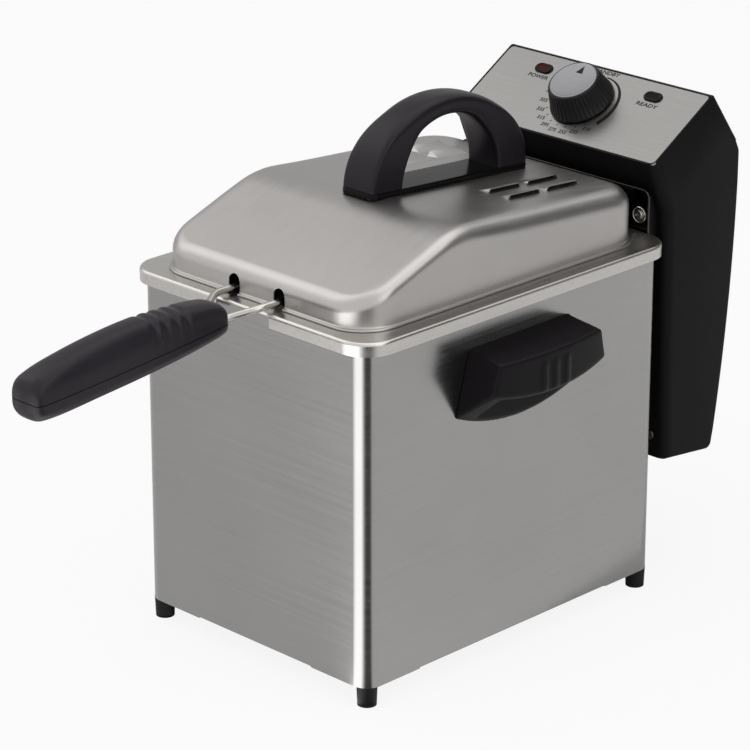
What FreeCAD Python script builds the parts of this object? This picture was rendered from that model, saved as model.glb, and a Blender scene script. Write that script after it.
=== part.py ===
import FreeCAD, Part
import math
import os
import re
import Sketcher

# Deep fryer with a lift-out pot, a lift-off control head, a basket and a lift-off lid.
# Millimetres, +Z up from the counter, front towards -Y.
# Heights are above the counter; distances in Y are counted from the middle of the tank.

V = FreeCAD.Vector
X_AXIS, Y_AXIS, Z_AXIS = V(1, 0, 0), V(0, 1, 0), V(0, 0, 1)

SIZES = {
    # middle of the tank, behind the middle of the whole outline
    "tank_y": 40.75,
    # housing
    "housing_width": 190.0, "housing_depth": 252.0, "housing_corner": 11.0, "housing_bottom": 12.75,
    "housing_wall": 1.0, "housing_ledge": 4.0,
    "relief_front": 97.0, "relief_side": 164.0, "relief_height": 1.0,
    "base_thick": 1.0, "vent_length": 60.0, "vent_width": 4.0, "vent_pitch": 18.0,
    "foot_inset": 7.5, "foot_top": 6.25, "foot_tip": 5.75,
    # screws: radii and head height
    "shank": 2.0, "shank_hole": 2.2, "shank_seat": 2.05, "screw_head": 3.6, "head_height": 2.2,
    # side handles: outlines at the wall and at the grip's depth
    "cup_depth": 31.0, "cup_wall_top": 201.7, "cup_wall_tip": 162.0, "cup_wall_sag": 11.8,
    "cup_wall_half_top": 42.7, "cup_wall_half_tip": 54.0,
    "cup_out_top": 197.7, "cup_out_tip": 184.9, "cup_out_sag": 8.9,
    "cup_out_half_top": 43.7, "cup_out_half_tip": 46.6,
    "cup_bow_radius": 278.0, "cup_bow_reach": 29.0, "cup_skin": 3.2, "cup_pocket_half": 40.0,
    "cup_ridge_pitch": 9.6, "cup_ridge_width": 4.0, "cup_ridge_rise": 0.8, "cup_ridge_top": 192.0,
    "cup_screw_y": 45.0, "cup_screw_z": 184.0,
    # guide on the rear of the housing
    "guide_half": 36.0, "guide_sheet": 1.5, "guide_depth": 15.5, "guide_lip": 14.0,
    "guide_bottom": 90.0, "guide_top": 207.8, "rivet_radius": 1.6, "rivet_head": 3.2,
    # oil pot
    "rim_top": 227.0, "rim_over": 5.6, "rim_corner": 19.5, "rim_round": 2.0, "lip_height": 8.1,
    "pot_sheet": 1.2, "pot_half": 84.5, "pot_front": 115.0, "pot_rear": 121.2, "pot_corner": 22.0,
    "pot_floor": 41.0, "pot_floor_round": 12.0, "notch_half": 22.0,
    # lid
    "lid_half": 86.5, "lid_front": 120.2, "lid_rear": 119.5, "lid_corner": 24.0, "lid_sheet": 0.9,
    "lid_bottom": 227.2, "lid_flange": 2.2, "lid_flange_thick": 1.2,
    "lid_brow": 243.0, "ridge_top": 271.6, "ridge_front": 42.0, "tail_top": 260.3, "lid_notch_play": 1.5,
    "ridge_round": 40.0, "lid_round": 8.0,
    "slot_gap": 18.7, "slot_half": 4.6, "slot_top": 239.0,
    "louver_near": 40.5, "louver_far": 56.5, "louver_front": 31.5, "louver_back": 65.0,
    "louver_length": 24.0, "louver_width": 2.2,
    # lid handle, in the frame of the lid's rear slope
    "arch_y": 27.5, "arch_half": 66.5, "arch_top": 54.0, "gap_half": 41.0, "gap_top": 41.5,
    "arch_width": 26.0, "arch_round": 5.0, "arch_base": 3.5, "arch_base_over": 1.0, "arch_screw": 54.0,
    # control head
    "head_width": 167.2, "head_bottom": 73.7, "head_front": 148.6, "head_waist_y": 144.0,
    "head_waist_z": 236.3, "head_toe": 195.0, "head_heel": 68.4, "head_rear": 212.5, "head_rear_low": 243.0,
    "head_rear_high": 263.0, "head_bevel_y": 209.0, "head_bevel_z": 270.0, "head_rear_bow": 1150.0,
    "shell_wall": 2.5, "shell_round": 2.0,
    "panel_y": 129.5, "panel_z": 270.4, "panel_length": 64.7, "panel_tilt": 31.15, "panel_thick": 1.2,
    "panel_edge": 1.0, "panel_corner": 2.5,
    "plate_top": 264.0, "plate_gap": 0.2, "plate_boss": 5.0, "plate_screw_inset": 12.0, "plate_screw_z": 88.0,
    "neck_half": 75.0, "neck_low": 208.0, "neck_high": 249.0,
    "tongue_half": 33.0, "tongue_neck": 18.0, "tongue_front": 133.0, "tongue_thick": 5.5,
    "tongue_low": 95.0, "tongue_high": 203.0,
    # element bracket and hood
    "bracket_half": 78.3, "bracket_low": 208.6, "bracket_high": 253.0, "bracket_front": 132.2,
    "bracket_thick": 1.2, "bracket_corner": 5.0, "bracket_screw_x": 70.5, "bracket_screw_z": 236.0,
    "hood_half": 58.0, "hood_front": 111.0, "hood_low": 230.0, "hood_high": 250.0, "hood_round": 8.0,
    # heating element and thermostat
    "tube": 3.2, "tube_hole": 3.5, "leg_x": 48.0, "leg_y": 117.0, "leg_z": 240.0, "leg_end": 158.0,
    "coil_z": 52.0, "coil_front": 100.0, "coil_back": 94.0, "coil_turn": 16.0, "leg_bend": 8.0,
    "coil_bend": 14.0, "tie_half": 55.0, "tie_width": 8.0, "tie_thick": 1.5, "tie_y": 40.0,
    "bulb": 3.0, "bulb_front": 45.0, "bulb_back": 42.0, "capillary": 1.0, "capillary_z": 58.0,
    "knob_y": 34.0, "stat_half": 15.0, "stat_depth": 24.0, "bush": 4.5,
    "shaft": 3.0, "shaft_bore": 3.05, "shaft_low": 10.0, "shaft_high": 14.0, "panel_hole": 5.0,
    # knob
    "knob_low": 0.8, "knob_high": 17.5, "knob_foot": 21.0, "knob_crown": 16.8, "knob_hollow": 16.0,
    "knob_hollow_depth": 8.0, "cap_radius": 15.4, "cap_seat": 1.2, "cap_thick": 1.8,
    "rib_count": 36.0, "rib_radius": 0.7,
    # lamps
    "lamp_x": 45.2, "lamp_y": 50.7, "lamp_length": 11.0, "lamp_width": 5.5, "lamp_rise": 0.8,
    "lamp_depth": 6.0, "lamp_play": 0.1, "lamp_flange": 0.7,
    # rear of the head: inlet, reset button, inner blocks
    "inlet_half_x": 20.0, "inlet_half_z": 10.0, "inlet_z": 104.0, "inlet_front": 184.0, "inlet_rear": 198.5,
    "socket_half_x": 15.0, "socket_half_z": 6.0, "socket_depth": 8.0, "pin": 2.0, "pin_x": 7.0,
    "pin_rise": 0.8, "reset_x": 55.0, "reset_z": 104.0, "reset": 3.5, "reset_hole": 3.85,
    "reset_front": 190.0, "reset_rear": 202.5, "cutout_half": 9.0, "cutout_front": 170.0,
    "cutout_rear": 187.0, "cutout_high": 113.0, "block_x": 25.0, "block_length": 40.0, "block_front": 160.0,
    "block_depth": 16.0, "block_height": 15.8,
    # basket
    "basket_low": 59.3, "basket_high": 205.0, "basket_wall": 1.2, "basket_half": 75.0, "basket_front": 100.0,
    "basket_rear": 95.0, "basket_taper": 5.0, "basket_corner": 16.0, "rim_wire": 2.0,
    "hanger_half": 26.0, "hanger_low": 150.0, "hanger_high": 235.0, "hanger_thick": 1.2,
    "socket_length": 16.0, "socket_outer": 3.4, "wire_bore": 2.08, "wire": 2.0, "wire_z": 231.0,
    "wire_end": 88.0,
    # basket handle
    "wire_knee": 127.0, "grip_rear": 152.0, "grip_front": 294.0, "wire_spread": 8.0, "wire_low": 226.5,
    "wire_tip": 192.0, "wire_tip_z": 222.6, "part_low": 212.6, "part_climb": 11.9,
    "grip_screw": 1.8, "grip_screw_head": 3.2, "grip_screw_rear": 215.0, "grip_screw_front": 275.0,
}

doc = FreeCAD.newDocument("deep_fryer")
dims = doc.addObject("Spreadsheet::Sheet", "dims")
for row, (alias, size) in enumerate(SIZES.items(), start=1):
    dims.set(f"A{row}", alias)
    dims.set(f"B{row}", str(size))
    dims.setAlias(f"B{row}", alias)
doc.recompute()


def cells(text):
    """Names in a formula become cells of the sheet."""
    return re.sub(r"\b(?!(?:cos|sin|atan)\b)[a-z]\w*", r"dims.\g<0>", text)


def mm(text):
    """Value of a formula, for shapes that are made in code."""
    result = dims.evalExpression(cells(text))
    return float(getattr(result, "Value", result))


def bind(thing, **formulas):
    """Binds properties to formulas; a double underscore stands for a dot in the property's path."""
    for path, text in formulas.items():
        thing.setExpression(path.replace("__", "."), cells(text))
    return thing


# Sketches and features of a body

def new_body(name):
    return doc.addObject("PartDesign::Body", name + "_body")


def new_sketch(body, plane, offset="0"):
    sketch = body.newObject("Sketcher::SketchObject", "outline")
    origin_plane = next(item for item in body.Origin.OriginFeatures if item.Role == plane)
    sketch.AttachmentSupport = [(origin_plane, "")]
    sketch.MapMode = "FlatFace"
    return bind(sketch, AttachmentOffset__Base__z=offset)


def fix_point(sketch, geometry, point, place):
    """Ties one point of a sketch to a pair of formulas."""
    for kind, text in zip(("DistanceX", "DistanceY"), place):
        rule = sketch.addConstraint(Sketcher.Constraint(kind, -1, 1, geometry, point, mm(text)))
        sketch.setExpression(f"Constraints[{rule}]", cells(text))


def draw(sketch, corners, arcs=None):
    """Closed outline through the corners, counter-clockwise; arcs gives outward radii by edge number."""
    arcs = arcs or {}
    first = sketch.GeometryCount
    points = [V(mm(x), mm(y), 0) for x, y in corners]
    count = len(points)
    for i, start in enumerate(points):
        end = points[(i + 1) % count]
        if i in arcs:
            radius, chord = mm(arcs[i]), end - start
            sag = radius - math.sqrt(radius ** 2 - chord.Length ** 2 / 4)
            outward = V(chord.y, -chord.x, 0).normalize()
            edge = Part.Arc(start, (start + end) * 0.5 + outward * sag, end)
        else:
            edge = Part.LineSegment(start, end)
        sketch.addGeometry(edge)
    for i in range(count):
        sketch.addConstraint(Sketcher.Constraint("Coincident", first + i, 2, first + (i + 1) % count, 1))
        fix_point(sketch, first + i, 1, corners[i])
    for i, text in arcs.items():
        rule = sketch.addConstraint(Sketcher.Constraint("Radius", first + i, mm(text)))
        sketch.setExpression(f"Constraints[{rule}]", cells(text))
    return sketch


def draw_box(sketch, left, right, low, high):
    return draw(sketch, [(left, low), (right, low), (right, high), (left, high)])


def draw_rounded(sketch, left, right, low, high, radius):
    """Rectangle with four rounded corners."""
    r = f"({radius})"
    corners = [(f"{left} + {r}", low), (f"{right} - {r}", low), (right, f"{low} + {r}"),
               (right, f"{high} - {r}"), (f"{right} - {r}", high), (f"{left} + {r}", high),
               (left, f"{high} - {r}"), (left, f"{low} + {r}")]
    return draw(sketch, corners, {i: radius for i in (1, 3, 5, 7)})


def draw_circles(sketch, centres, radius):
    for x, y in centres:
        circle = sketch.addGeometry(Part.Circle(V(mm(x), mm(y), 0), Z_AXIS, mm(radius)))
        fix_point(sketch, circle, 3, (x, y))
        rule = sketch.addConstraint(Sketcher.Constraint("Radius", circle, mm(radius)))
        sketch.setExpression(f"Constraints[{rule}]", cells(radius))
    return sketch


def pad(body, sketch, length, symmetric=False):
    feature = body.newObject("PartDesign::Pad", "pad")
    feature.Profile = sketch
    feature.SideType = "Symmetric" if symmetric else "One side"
    bind(feature, Length=length)
    doc.recompute()
    return feature


def pocket(body, sketch, length=None, symmetric=False, reverse=False):
    """Cuts a sketch away, through everything where no length is given."""
    before = body.Shape.Volume
    feature = body.newObject("PartDesign::Pocket", "pocket")
    feature.Profile = sketch
    feature.SideType = "Symmetric" if symmetric else "One side"
    feature.Reversed = reverse
    if length is None:
        feature.Type = "ThroughAll"
    else:
        bind(feature, Length=length)
    doc.recompute()
    if not body.Shape.Volume < before - 0.1:
        raise ValueError(f"{body.Name}: a pocket cuts nothing")
    return feature


def round_edges(body, picks, radius):
    """Rounds the edges of the body's tip that the test picks."""
    base = body.Tip
    names = [f"Edge{i}" for i, edge in enumerate(base.Shape.Edges, start=1) if picks(edge)]
    feature = body.newObject("PartDesign::Fillet", "round")
    feature.Base = (base, names)
    bind(feature, Radius=radius)
    doc.recompute()
    return feature


def hollow(body, opens, wall):
    """Leaves a wall inside the body's skin, open at the faces that the test picks."""
    base = body.Tip
    names = [f"Face{i}" for i, face in enumerate(base.Shape.Faces, start=1) if opens(face)]
    feature = body.newObject("PartDesign::Thickness", "wall")
    feature.Base = (base, names)
    feature.Reversed = True
    bind(feature, Value=wall)
    doc.recompute()
    return feature


def along(edge, axis):
    """True for a straight edge along an axis."""
    straight = edge.Curve.TypeId == "Part::GeomLine"
    return straight and abs(edge.tangentAt(edge.FirstParameter).dot(axis)) > 0.999


def faces_towards(face, direction):
    u0, u1, v0, v1 = face.ParameterRange
    return face.normalAt((u0 + u1) / 2, (v0 + v1) / 2).dot(direction) > 0.999


# Primitives and their unions

def place(thing, x, y, z, axis=Z_AXIS):
    thing.Placement = FreeCAD.Placement(V(), FreeCAD.Rotation(Z_AXIS, axis))
    return bind(thing, Placement__Base__x=x, Placement__Base__y=y, Placement__Base__z=z)


def box(x, y, z):
    """Box between pairs of formulas."""
    block = doc.addObject("Part::Box", "block")
    bind(block, Length=f"{x[1]} - ({x[0]})", Width=f"{y[1]} - ({y[0]})", Height=f"{z[1]} - ({z[0]})")
    return place(block, x[0], y[0], z[0])


def rod(radius, length, x, y, z, axis=Z_AXIS):
    cylinder = doc.addObject("Part::Cylinder", "rod")
    bind(cylinder, Radius=radius, Height=length)
    return place(cylinder, x, y, z, axis)


def fuse(*things):
    union = doc.addObject("Part::MultiFuse", "union")
    union.Shapes = list(things)
    return union


def cut(base, *tools):
    difference = doc.addObject("Part::Cut", "cut")
    difference.Base = base
    difference.Tool = tools[0] if len(tools) == 1 else fuse(*tools)
    return difference


def group(things):
    bundle = doc.addObject("Part::Compound", "bundle")
    bundle.Links = list(things)
    return bundle


def coded(shape):
    feature = doc.addObject("Part::Feature", "coded")
    feature.Shape = shape
    return feature


def screw(x, y, z, axis, length, head=("screw_head", "head_height"), shank="shank"):
    """Pan head screw whose head sits on (x, y, z); the shank runs along the axis."""
    back = axis * -1
    return fuse(rod(head[0], head[1], x, y, z, back), rod(shank, length, x, y, z, axis))


def rounded_path(stops):
    """Wire of straight runs with a tangent arc of the given radius at each inner point."""
    points = [V(*point) for point, _ in stops]
    edges, start = [], points[0]
    for i in range(1, len(points) - 1):
        before = (points[i - 1] - points[i]).normalize()
        after = (points[i + 1] - points[i]).normalize()
        half_angle = before.getAngle(after) / 2
        radius = stops[i][1]
        reach = radius / math.tan(half_angle)
        middle_way = (before + after).normalize()
        middle = points[i] + middle_way * (radius / math.sin(half_angle) - radius)
        arc_start, arc_end = points[i] + before * reach, points[i] + after * reach
        if (arc_start - start).Length > 1e-6:
            edges.append(Part.makeLine(start, arc_start))
        edges.append(Part.Arc(arc_start, middle, arc_end).toShape())
        start = arc_end
    edges.append(Part.makeLine(start, points[-1]))
    return Part.Wire(edges)


def tube_along(stops, radius):
    path = rounded_path(stops)
    start = path.Edges[0]
    circle = Part.Wire(Part.makeCircle(radius, start.valueAt(start.FirstParameter),
                                       start.tangentAt(start.FirstParameter)))
    return path.makePipeShell([circle], True, False)


# Frames that sub-parts are drawn in

PANEL_TURN = "panel_tilt"
SLOPE = "(ridge_top - tail_top) / (lid_rear + ridge_front)"
nodes = {}


def node(name, thing, frame="tank"):
    """Names a sub-part and puts its frame in place."""
    thing.Label = name
    if frame == "tank":
        bind(thing, Placement__Base__y="tank_y")
    else:
        thing.Placement = FreeCAD.Placement(V(), FreeCAD.Rotation(X_AXIS, 1))
    if frame == "panel":
        bind(thing, Placement__Base__y="tank_y + panel_y", Placement__Base__z="panel_z",
             Placement__Rotation__Angle=PANEL_TURN)
    if frame == "knob":
        bind(thing, Placement__Base__y="tank_y + panel_y + knob_y * cos(panel_tilt * 1deg)",
             Placement__Base__z="panel_z + knob_y * sin(panel_tilt * 1deg)",
             Placement__Rotation__Angle=PANEL_TURN)
    if frame == "slope":
        bind(thing, Placement__Base__y="tank_y + arch_y",
             Placement__Base__z=f"ridge_top - (arch_y + ridge_front) * {SLOPE}",
             Placement__Rotation__Angle=f"-atan({SLOPE})")
    nodes[name] = thing


HALF_WIDTH = "housing_width / 2"
HALF_DEPTH = "housing_depth / 2"
RIVETS = [(f"{side}guide_half / 2", height)
          for side in ("-", "") for height in ("guide_bottom + 15", "guide_top - 15")]
FEET = [(f"{side}({HALF_WIDTH} - foot_inset)", f"{end}({HALF_DEPTH} - foot_inset)")
        for side in ("-", "") for end in ("-", "")]


# Housing and base

def housing_shell():
    body = new_body("housing_shell")
    plan = new_sketch(body, "XY_Plane", "housing_bottom")
    draw_rounded(plan, f"-{HALF_WIDTH}", HALF_WIDTH, f"-{HALF_DEPTH}", HALF_DEPTH, "housing_corner")
    pad(body, plan, "rim_top - pot_sheet - housing_bottom")
    hollow(body, lambda face: faces_towards(face, -Z_AXIS), "housing_wall")
    mouth = new_sketch(body, "XY_Plane", "rim_top")
    ledge = f"({HALF_WIDTH} - housing_ledge)"
    draw_box(mouth, f"-{ledge}", ledge, "-(pot_front + housing_ledge)", "pot_rear + 2")
    pocket(body, mouth, "housing_ledge")
    foot_line = ("housing_bottom - 1", "housing_bottom + relief_height")
    front_relief = new_sketch(body, "XZ_Plane")
    draw_box(front_relief, "-relief_front / 2", "relief_front / 2", *foot_line)
    pocket(body, front_relief, symmetric=True)
    side_relief = new_sketch(body, "YZ_Plane")
    draw_box(side_relief, "-relief_side / 2", "relief_side / 2", *foot_line)
    pocket(body, side_relief, symmetric=True)
    handle_holes = new_sketch(body, "YZ_Plane")
    draw_circles(handle_holes, [(f"{end}cup_screw_y", "cup_screw_z") for end in ("-", "")], "shank_hole")
    pocket(body, handle_holes, symmetric=True)
    rivet_holes = new_sketch(body, "XZ_Plane")
    draw_circles(rivet_holes, RIVETS, "rivet_radius")
    pocket(body, rivet_holes)
    node("housing_shell", body)


def base_plate():
    body = new_body("base_plate")
    plan = new_sketch(body, "XY_Plane", "housing_bottom")
    half_x, half_y = f"({HALF_WIDTH} - housing_wall - 0.1)", f"({HALF_DEPTH} - housing_wall - 0.1)"
    draw_rounded(plan, f"-{half_x}", half_x, f"-{half_y}", half_y, "housing_corner - housing_wall")
    pad(body, plan, "base_thick")
    openings = new_sketch(body, "XY_Plane", "housing_bottom + base_thick")
    draw_circles(openings, FEET, "shank_hole")
    for step in range(-2, 3):
        middle = f"{step} * vent_pitch"
        draw_box(openings, "-vent_length / 2", "vent_length / 2",
                 f"{middle} - vent_width / 2", f"{middle} + vent_width / 2")
    pocket(body, openings)
    node("base_plate", body)


def feet():
    pieces = []
    for x, y in FEET:
        foot = doc.addObject("Part::Cone", "foot")
        bind(foot, Radius1="foot_tip", Radius2="foot_top", Height="housing_bottom")
        place(foot, x, y, "0")
        pieces.append(cut(foot, rod("shank_seat", "8", x, y, "housing_bottom - 8")))
    node("feet", group(pieces))
    screws = [screw(x, y, "housing_bottom + base_thick", -Z_AXIS, "base_thick + 7.5") for x, y in FEET]
    node("foot_screws", group(screws))


def rear_guide():
    body = new_body("rear_guide")
    plan = new_sketch(body, "XY_Plane", "guide_bottom")
    back, lip = HALF_DEPTH, f"({HALF_DEPTH} + guide_depth)"
    inner = "(guide_half - guide_sheet)"
    throat = "(guide_half - guide_lip)"
    floor, under_lip = f"{back} + guide_sheet", f"{lip} - guide_sheet"
    draw(plan, [("-guide_half", back), ("guide_half", back), ("guide_half", lip), (throat, lip),
                (throat, under_lip), (inner, under_lip), (inner, floor), (f"-{inner}", floor),
                (f"-{inner}", under_lip), (f"-{throat}", under_lip), (f"-{throat}", lip),
                ("-guide_half", lip)])
    pad(body, plan, "guide_top - guide_bottom")
    holes = new_sketch(body, "XZ_Plane")
    draw_circles(holes, RIVETS, "rivet_radius")
    pocket(body, holes, f"{HALF_DEPTH} + guide_sheet + 1")
    node("rear_guide", body)
    rivets = []
    for x, z in RIVETS:
        start = f"{HALF_DEPTH} - housing_wall"
        inside = rod("rivet_head", "1", x, f"{start} - 1", z, Y_AXIS)
        shank = rod("rivet_radius", "housing_wall + guide_sheet", x, start, z, Y_AXIS)
        outside = rod("rivet_head", "1", x, f"{HALF_DEPTH} + guide_sheet", z, Y_AXIS)
        rivets.append(fuse(inside, shank, outside))
    node("guide_rivets", group(rivets))


# Side handles: cup grips, open below for the fingers

def cup_outline(depth, half_tip, tip, sag, half_top, top):
    """Outline at a depth from the wall: straight top and ends, bowed lower edge."""
    x = mm(HALF_WIDTH) + depth
    low_left, low_right = V(x, -half_tip, tip), V(x, half_tip, tip)
    top_right, top_left = V(x, half_top, top), V(x, -half_top, top)
    lower = Part.Arc(low_left, V(x, 0, tip - sag), low_right).toShape()
    return Part.Wire([lower, Part.makeLine(low_right, top_right), Part.makeLine(top_right, top_left),
                      Part.makeLine(top_left, low_left)])


def side_handles():
    wall = mm(HALF_WIDTH)
    depth = mm("cup_depth")
    at_wall = cup_outline(0, mm("cup_wall_half_tip"), mm("cup_wall_tip"), mm("cup_wall_sag"),
                          mm("cup_wall_half_top"), mm("cup_wall_top"))
    outside = cup_outline(depth, mm("cup_out_half_tip"), mm("cup_out_tip"), mm("cup_out_sag"),
                          mm("cup_out_half_top"), mm("cup_out_top"))
    wedge = Part.makeLoft([at_wall, outside], True, True)
    bow = mm("cup_bow_radius")
    reach = wall + mm("cup_bow_reach")
    lowest, tallest = mm("cup_wall_tip - 2 * cup_wall_sag"), mm("cup_wall_top") + 10
    grip = wedge.common(Part.makeCylinder(bow, tallest - lowest, V(reach - bow, 0, lowest)))
    skin = mm("cup_skin")
    for step in (-1, 0, 1):
        middle, half = step * mm("cup_ridge_pitch"), mm("cup_ridge_width") / 2
        ridge_ring = Part.makeCylinder(bow + mm("cup_ridge_rise"), mm("cup_ridge_top") - lowest,
                                       V(reach - bow, 0, lowest))
        ridge_strip = Part.makeBox(2 * skin, 2 * half, tallest - lowest,
                                   V(reach - skin, middle - half, lowest))
        grip = grip.fuse(ridge_ring.common(ridge_strip).common(wedge))
    pocket_half = mm("cup_pocket_half")
    finger_room = Part.makeCylinder(bow - skin, mm("cup_wall_top") - 2 * skin - lowest,
                                    V(reach - bow, 0, lowest))
    finger_room = finger_room.common(Part.makeBox(depth, 2 * pocket_half, tallest - lowest,
                                                  V(wall + skin, -pocket_half, lowest)))
    grip = grip.cut(finger_room)
    for side in (-1, 1):
        seat = V(wall, side * mm("cup_screw_y"), mm("cup_screw_z"))
        grip = grip.cut(Part.makeCylinder(mm("shank_seat"), 10, seat, X_AXIS))
    right = coded(grip.removeSplitter())
    node("side_handle_right", right)
    left = doc.addObject("Part::Mirroring", "mirrored")
    left.Source = right
    left.Normal = X_AXIS
    left.Label = "side_handle_left"
    nodes["side_handle_left"] = left
    inner = f"({HALF_WIDTH} - housing_wall)"
    screws = [screw(f"{side}{inner}", f"{end}cup_screw_y", "cup_screw_z", X_AXIS * turn, "housing_wall + 8")
              for side, turn in (("-", -1), ("", 1)) for end in ("-", "")]
    node("side_handle_screws", group(screws))


# Oil pot with its turned-down rim

def oil_pot():
    body = new_body("oil_pot")
    half_rim_x, half_rim_y = f"({HALF_WIDTH} + rim_over)", f"({HALF_DEPTH} + rim_over)"
    rim = new_sketch(body, "XY_Plane", "rim_top - lip_height")
    draw_rounded(rim, f"-{half_rim_x}", half_rim_x, f"-{half_rim_y}", half_rim_y, "rim_corner")
    pad(body, rim, "lip_height")
    round_edges(body, lambda edge: edge.BoundBox.ZMin > mm("rim_top") - 0.01, "rim_round")
    hollow(body, lambda face: faces_towards(face, -Z_AXIS), "pot_sheet")
    vessel = new_sketch(body, "XY_Plane", "pot_floor - pot_sheet")
    draw_rounded(vessel, "-(pot_half + pot_sheet)", "pot_half + pot_sheet", "-(pot_front + pot_sheet)",
                 "pot_rear + pot_sheet", "pot_corner + pot_sheet")
    pad(body, vessel, "rim_top - pot_sheet / 2 - pot_floor + pot_sheet")
    mouth = new_sketch(body, "XY_Plane", "rim_top")
    draw_rounded(mouth, "-pot_half", "pot_half", "-pot_front", "pot_rear", "pot_corner")
    pocket(body, mouth, "rim_top - pot_floor")
    floor, underside = mm("pot_floor"), mm("pot_floor - pot_sheet")
    round_edges(body, lambda edge: abs(edge.BoundBox.ZMax - floor) < 0.01 and edge.BoundBox.ZLength < 0.01,
                "pot_floor_round")
    round_edges(body, lambda edge: edge.BoundBox.ZMax < underside + 0.01, "pot_floor_round + pot_sheet")
    notch = new_sketch(body, "XZ_Plane", f"{half_rim_y} - 2 * pot_sheet")
    draw_box(notch, "-notch_half", "notch_half", "rim_top - lip_height - 1", "rim_top - pot_sheet")
    pocket(body, notch, "4 * pot_sheet", reverse=True)
    node("oil_pot", body)


# Lid

def lid_shell():
    body = new_body("lid_shell")
    plan = new_sketch(body, "XY_Plane", "lid_bottom")
    draw_rounded(plan, "-lid_half", "lid_half", "-lid_front", "lid_rear", "lid_corner")
    pad(body, plan, "ridge_top + 10 - lid_bottom")
    roof = new_sketch(body, "YZ_Plane")
    draw(roof, [("-lid_front", "lid_brow"), ("-ridge_front", "ridge_top"), ("lid_rear", "tail_top"),
                ("lid_rear + 10", "tail_top"), ("lid_rear + 10", "ridge_top + 20"),
                ("-lid_front - 10", "ridge_top + 20"), ("-lid_front - 10", "lid_brow")])
    pocket(body, roof, symmetric=True)
    ridge = mm("ridge_top")
    round_edges(body, lambda edge: along(edge, X_AXIS) and edge.BoundBox.ZMin > ridge - 0.1, "ridge_round")
    brow = mm("lid_brow") - 0.1
    round_edges(body, lambda edge: edge.BoundBox.ZMin > brow and on_lid_wall(edge), "lid_round")
    hollow(body, lambda face: faces_towards(face, -Z_AXIS), "lid_sheet")
    flange = new_sketch(body, "XY_Plane", "lid_bottom")
    draw_rounded(flange, "-(lid_half + lid_flange)", "lid_half + lid_flange", "-(lid_front + lid_flange)",
                 "lid_rear + lid_flange", "lid_corner + lid_flange")
    inside = "(lid_half - lid_sheet)"
    draw_rounded(flange, f"-{inside}", inside, "-(lid_front - lid_sheet)", "lid_rear - lid_sheet",
                 "lid_corner - lid_sheet")
    pad(body, flange, "lid_flange_thick")
    slots = new_sketch(body, "XZ_Plane", "lid_front - 10")
    for side in ("-", ""):
        middle, spring, low = f"{side}slot_gap", "slot_top - slot_half", "lid_bottom - 1"
        left, right = f"{middle} - slot_half", f"{middle} + slot_half"
        draw(slots, [(left, low), (right, low), (right, spring), (middle, "slot_top"), (left, spring)],
             {2: "slot_half", 3: "slot_half"})
    pocket(body, slots, "20", reverse=True)
    hood_room = new_sketch(body, "XZ_Plane", "-(lid_rear - 10)")
    draw_box(hood_room, "-(hood_half + lid_notch_play)", "hood_half + lid_notch_play", "lid_bottom - 1",
             "hood_high + lid_notch_play")
    pocket(body, hood_room, "20")
    vents = new_sketch(body, "XY_Plane", "ridge_top + 10")
    for side in ("-", ""):
        for column in ("louver_near", "louver_far"):
            for start in ("louver_front", "louver_back"):
                draw_box(vents, f"{side}{column} - louver_width / 2", f"{side}{column} + louver_width / 2",
                         start, f"{start} + louver_length")
    pocket(body, vents, "30")
    drills = [drill_hole(side, "shank_hole", "-20", "40") for side in ("-", "")]
    node("lid_shell", cut(body, group(in_slope_frame(drills))))


def on_lid_wall(edge):
    """True for an edge that runs along the outer wall of the lid."""
    half, front, rear, corner = mm("lid_half"), mm("lid_front"), mm("lid_rear"), mm("lid_corner")
    middle = edge.valueAt((edge.FirstParameter + edge.LastParameter) / 2)
    near_end = front + middle.y < corner or rear - middle.y < corner
    beyond_corner = abs(middle.x) > half - corner
    on_side = abs(abs(middle.x) - half) < 0.01
    on_end = abs(middle.y + front) < 0.01 or abs(middle.y - rear) < 0.01
    return on_side or on_end or (near_end and beyond_corner)


def drill_hole(side, radius, low, length):
    return rod(radius, length, "0", f"{side}arch_screw", low)


def in_slope_frame(things):
    """Puts tools drawn in the frame of the lid's rear slope where the lid is drawn."""
    bundle = group(things)
    bundle.Placement = FreeCAD.Placement(V(), FreeCAD.Rotation(X_AXIS, 1))
    bind(bundle, Placement__Base__y="arch_y", Placement__Rotation__Angle=f"-atan({SLOPE})",
         Placement__Base__z=f"ridge_top - (arch_y + ridge_front) * {SLOPE}")
    return [bundle]


def arch_edge(half_length, rise, base):
    """Half ellipse standing on the base plate, in the YZ plane."""
    ellipse = Part.Ellipse(V(0, half_length, base), V(0, 0, base + rise), V(0, 0, base))
    return Part.ArcOfEllipse(ellipse, 0, math.pi).toShape()


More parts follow.
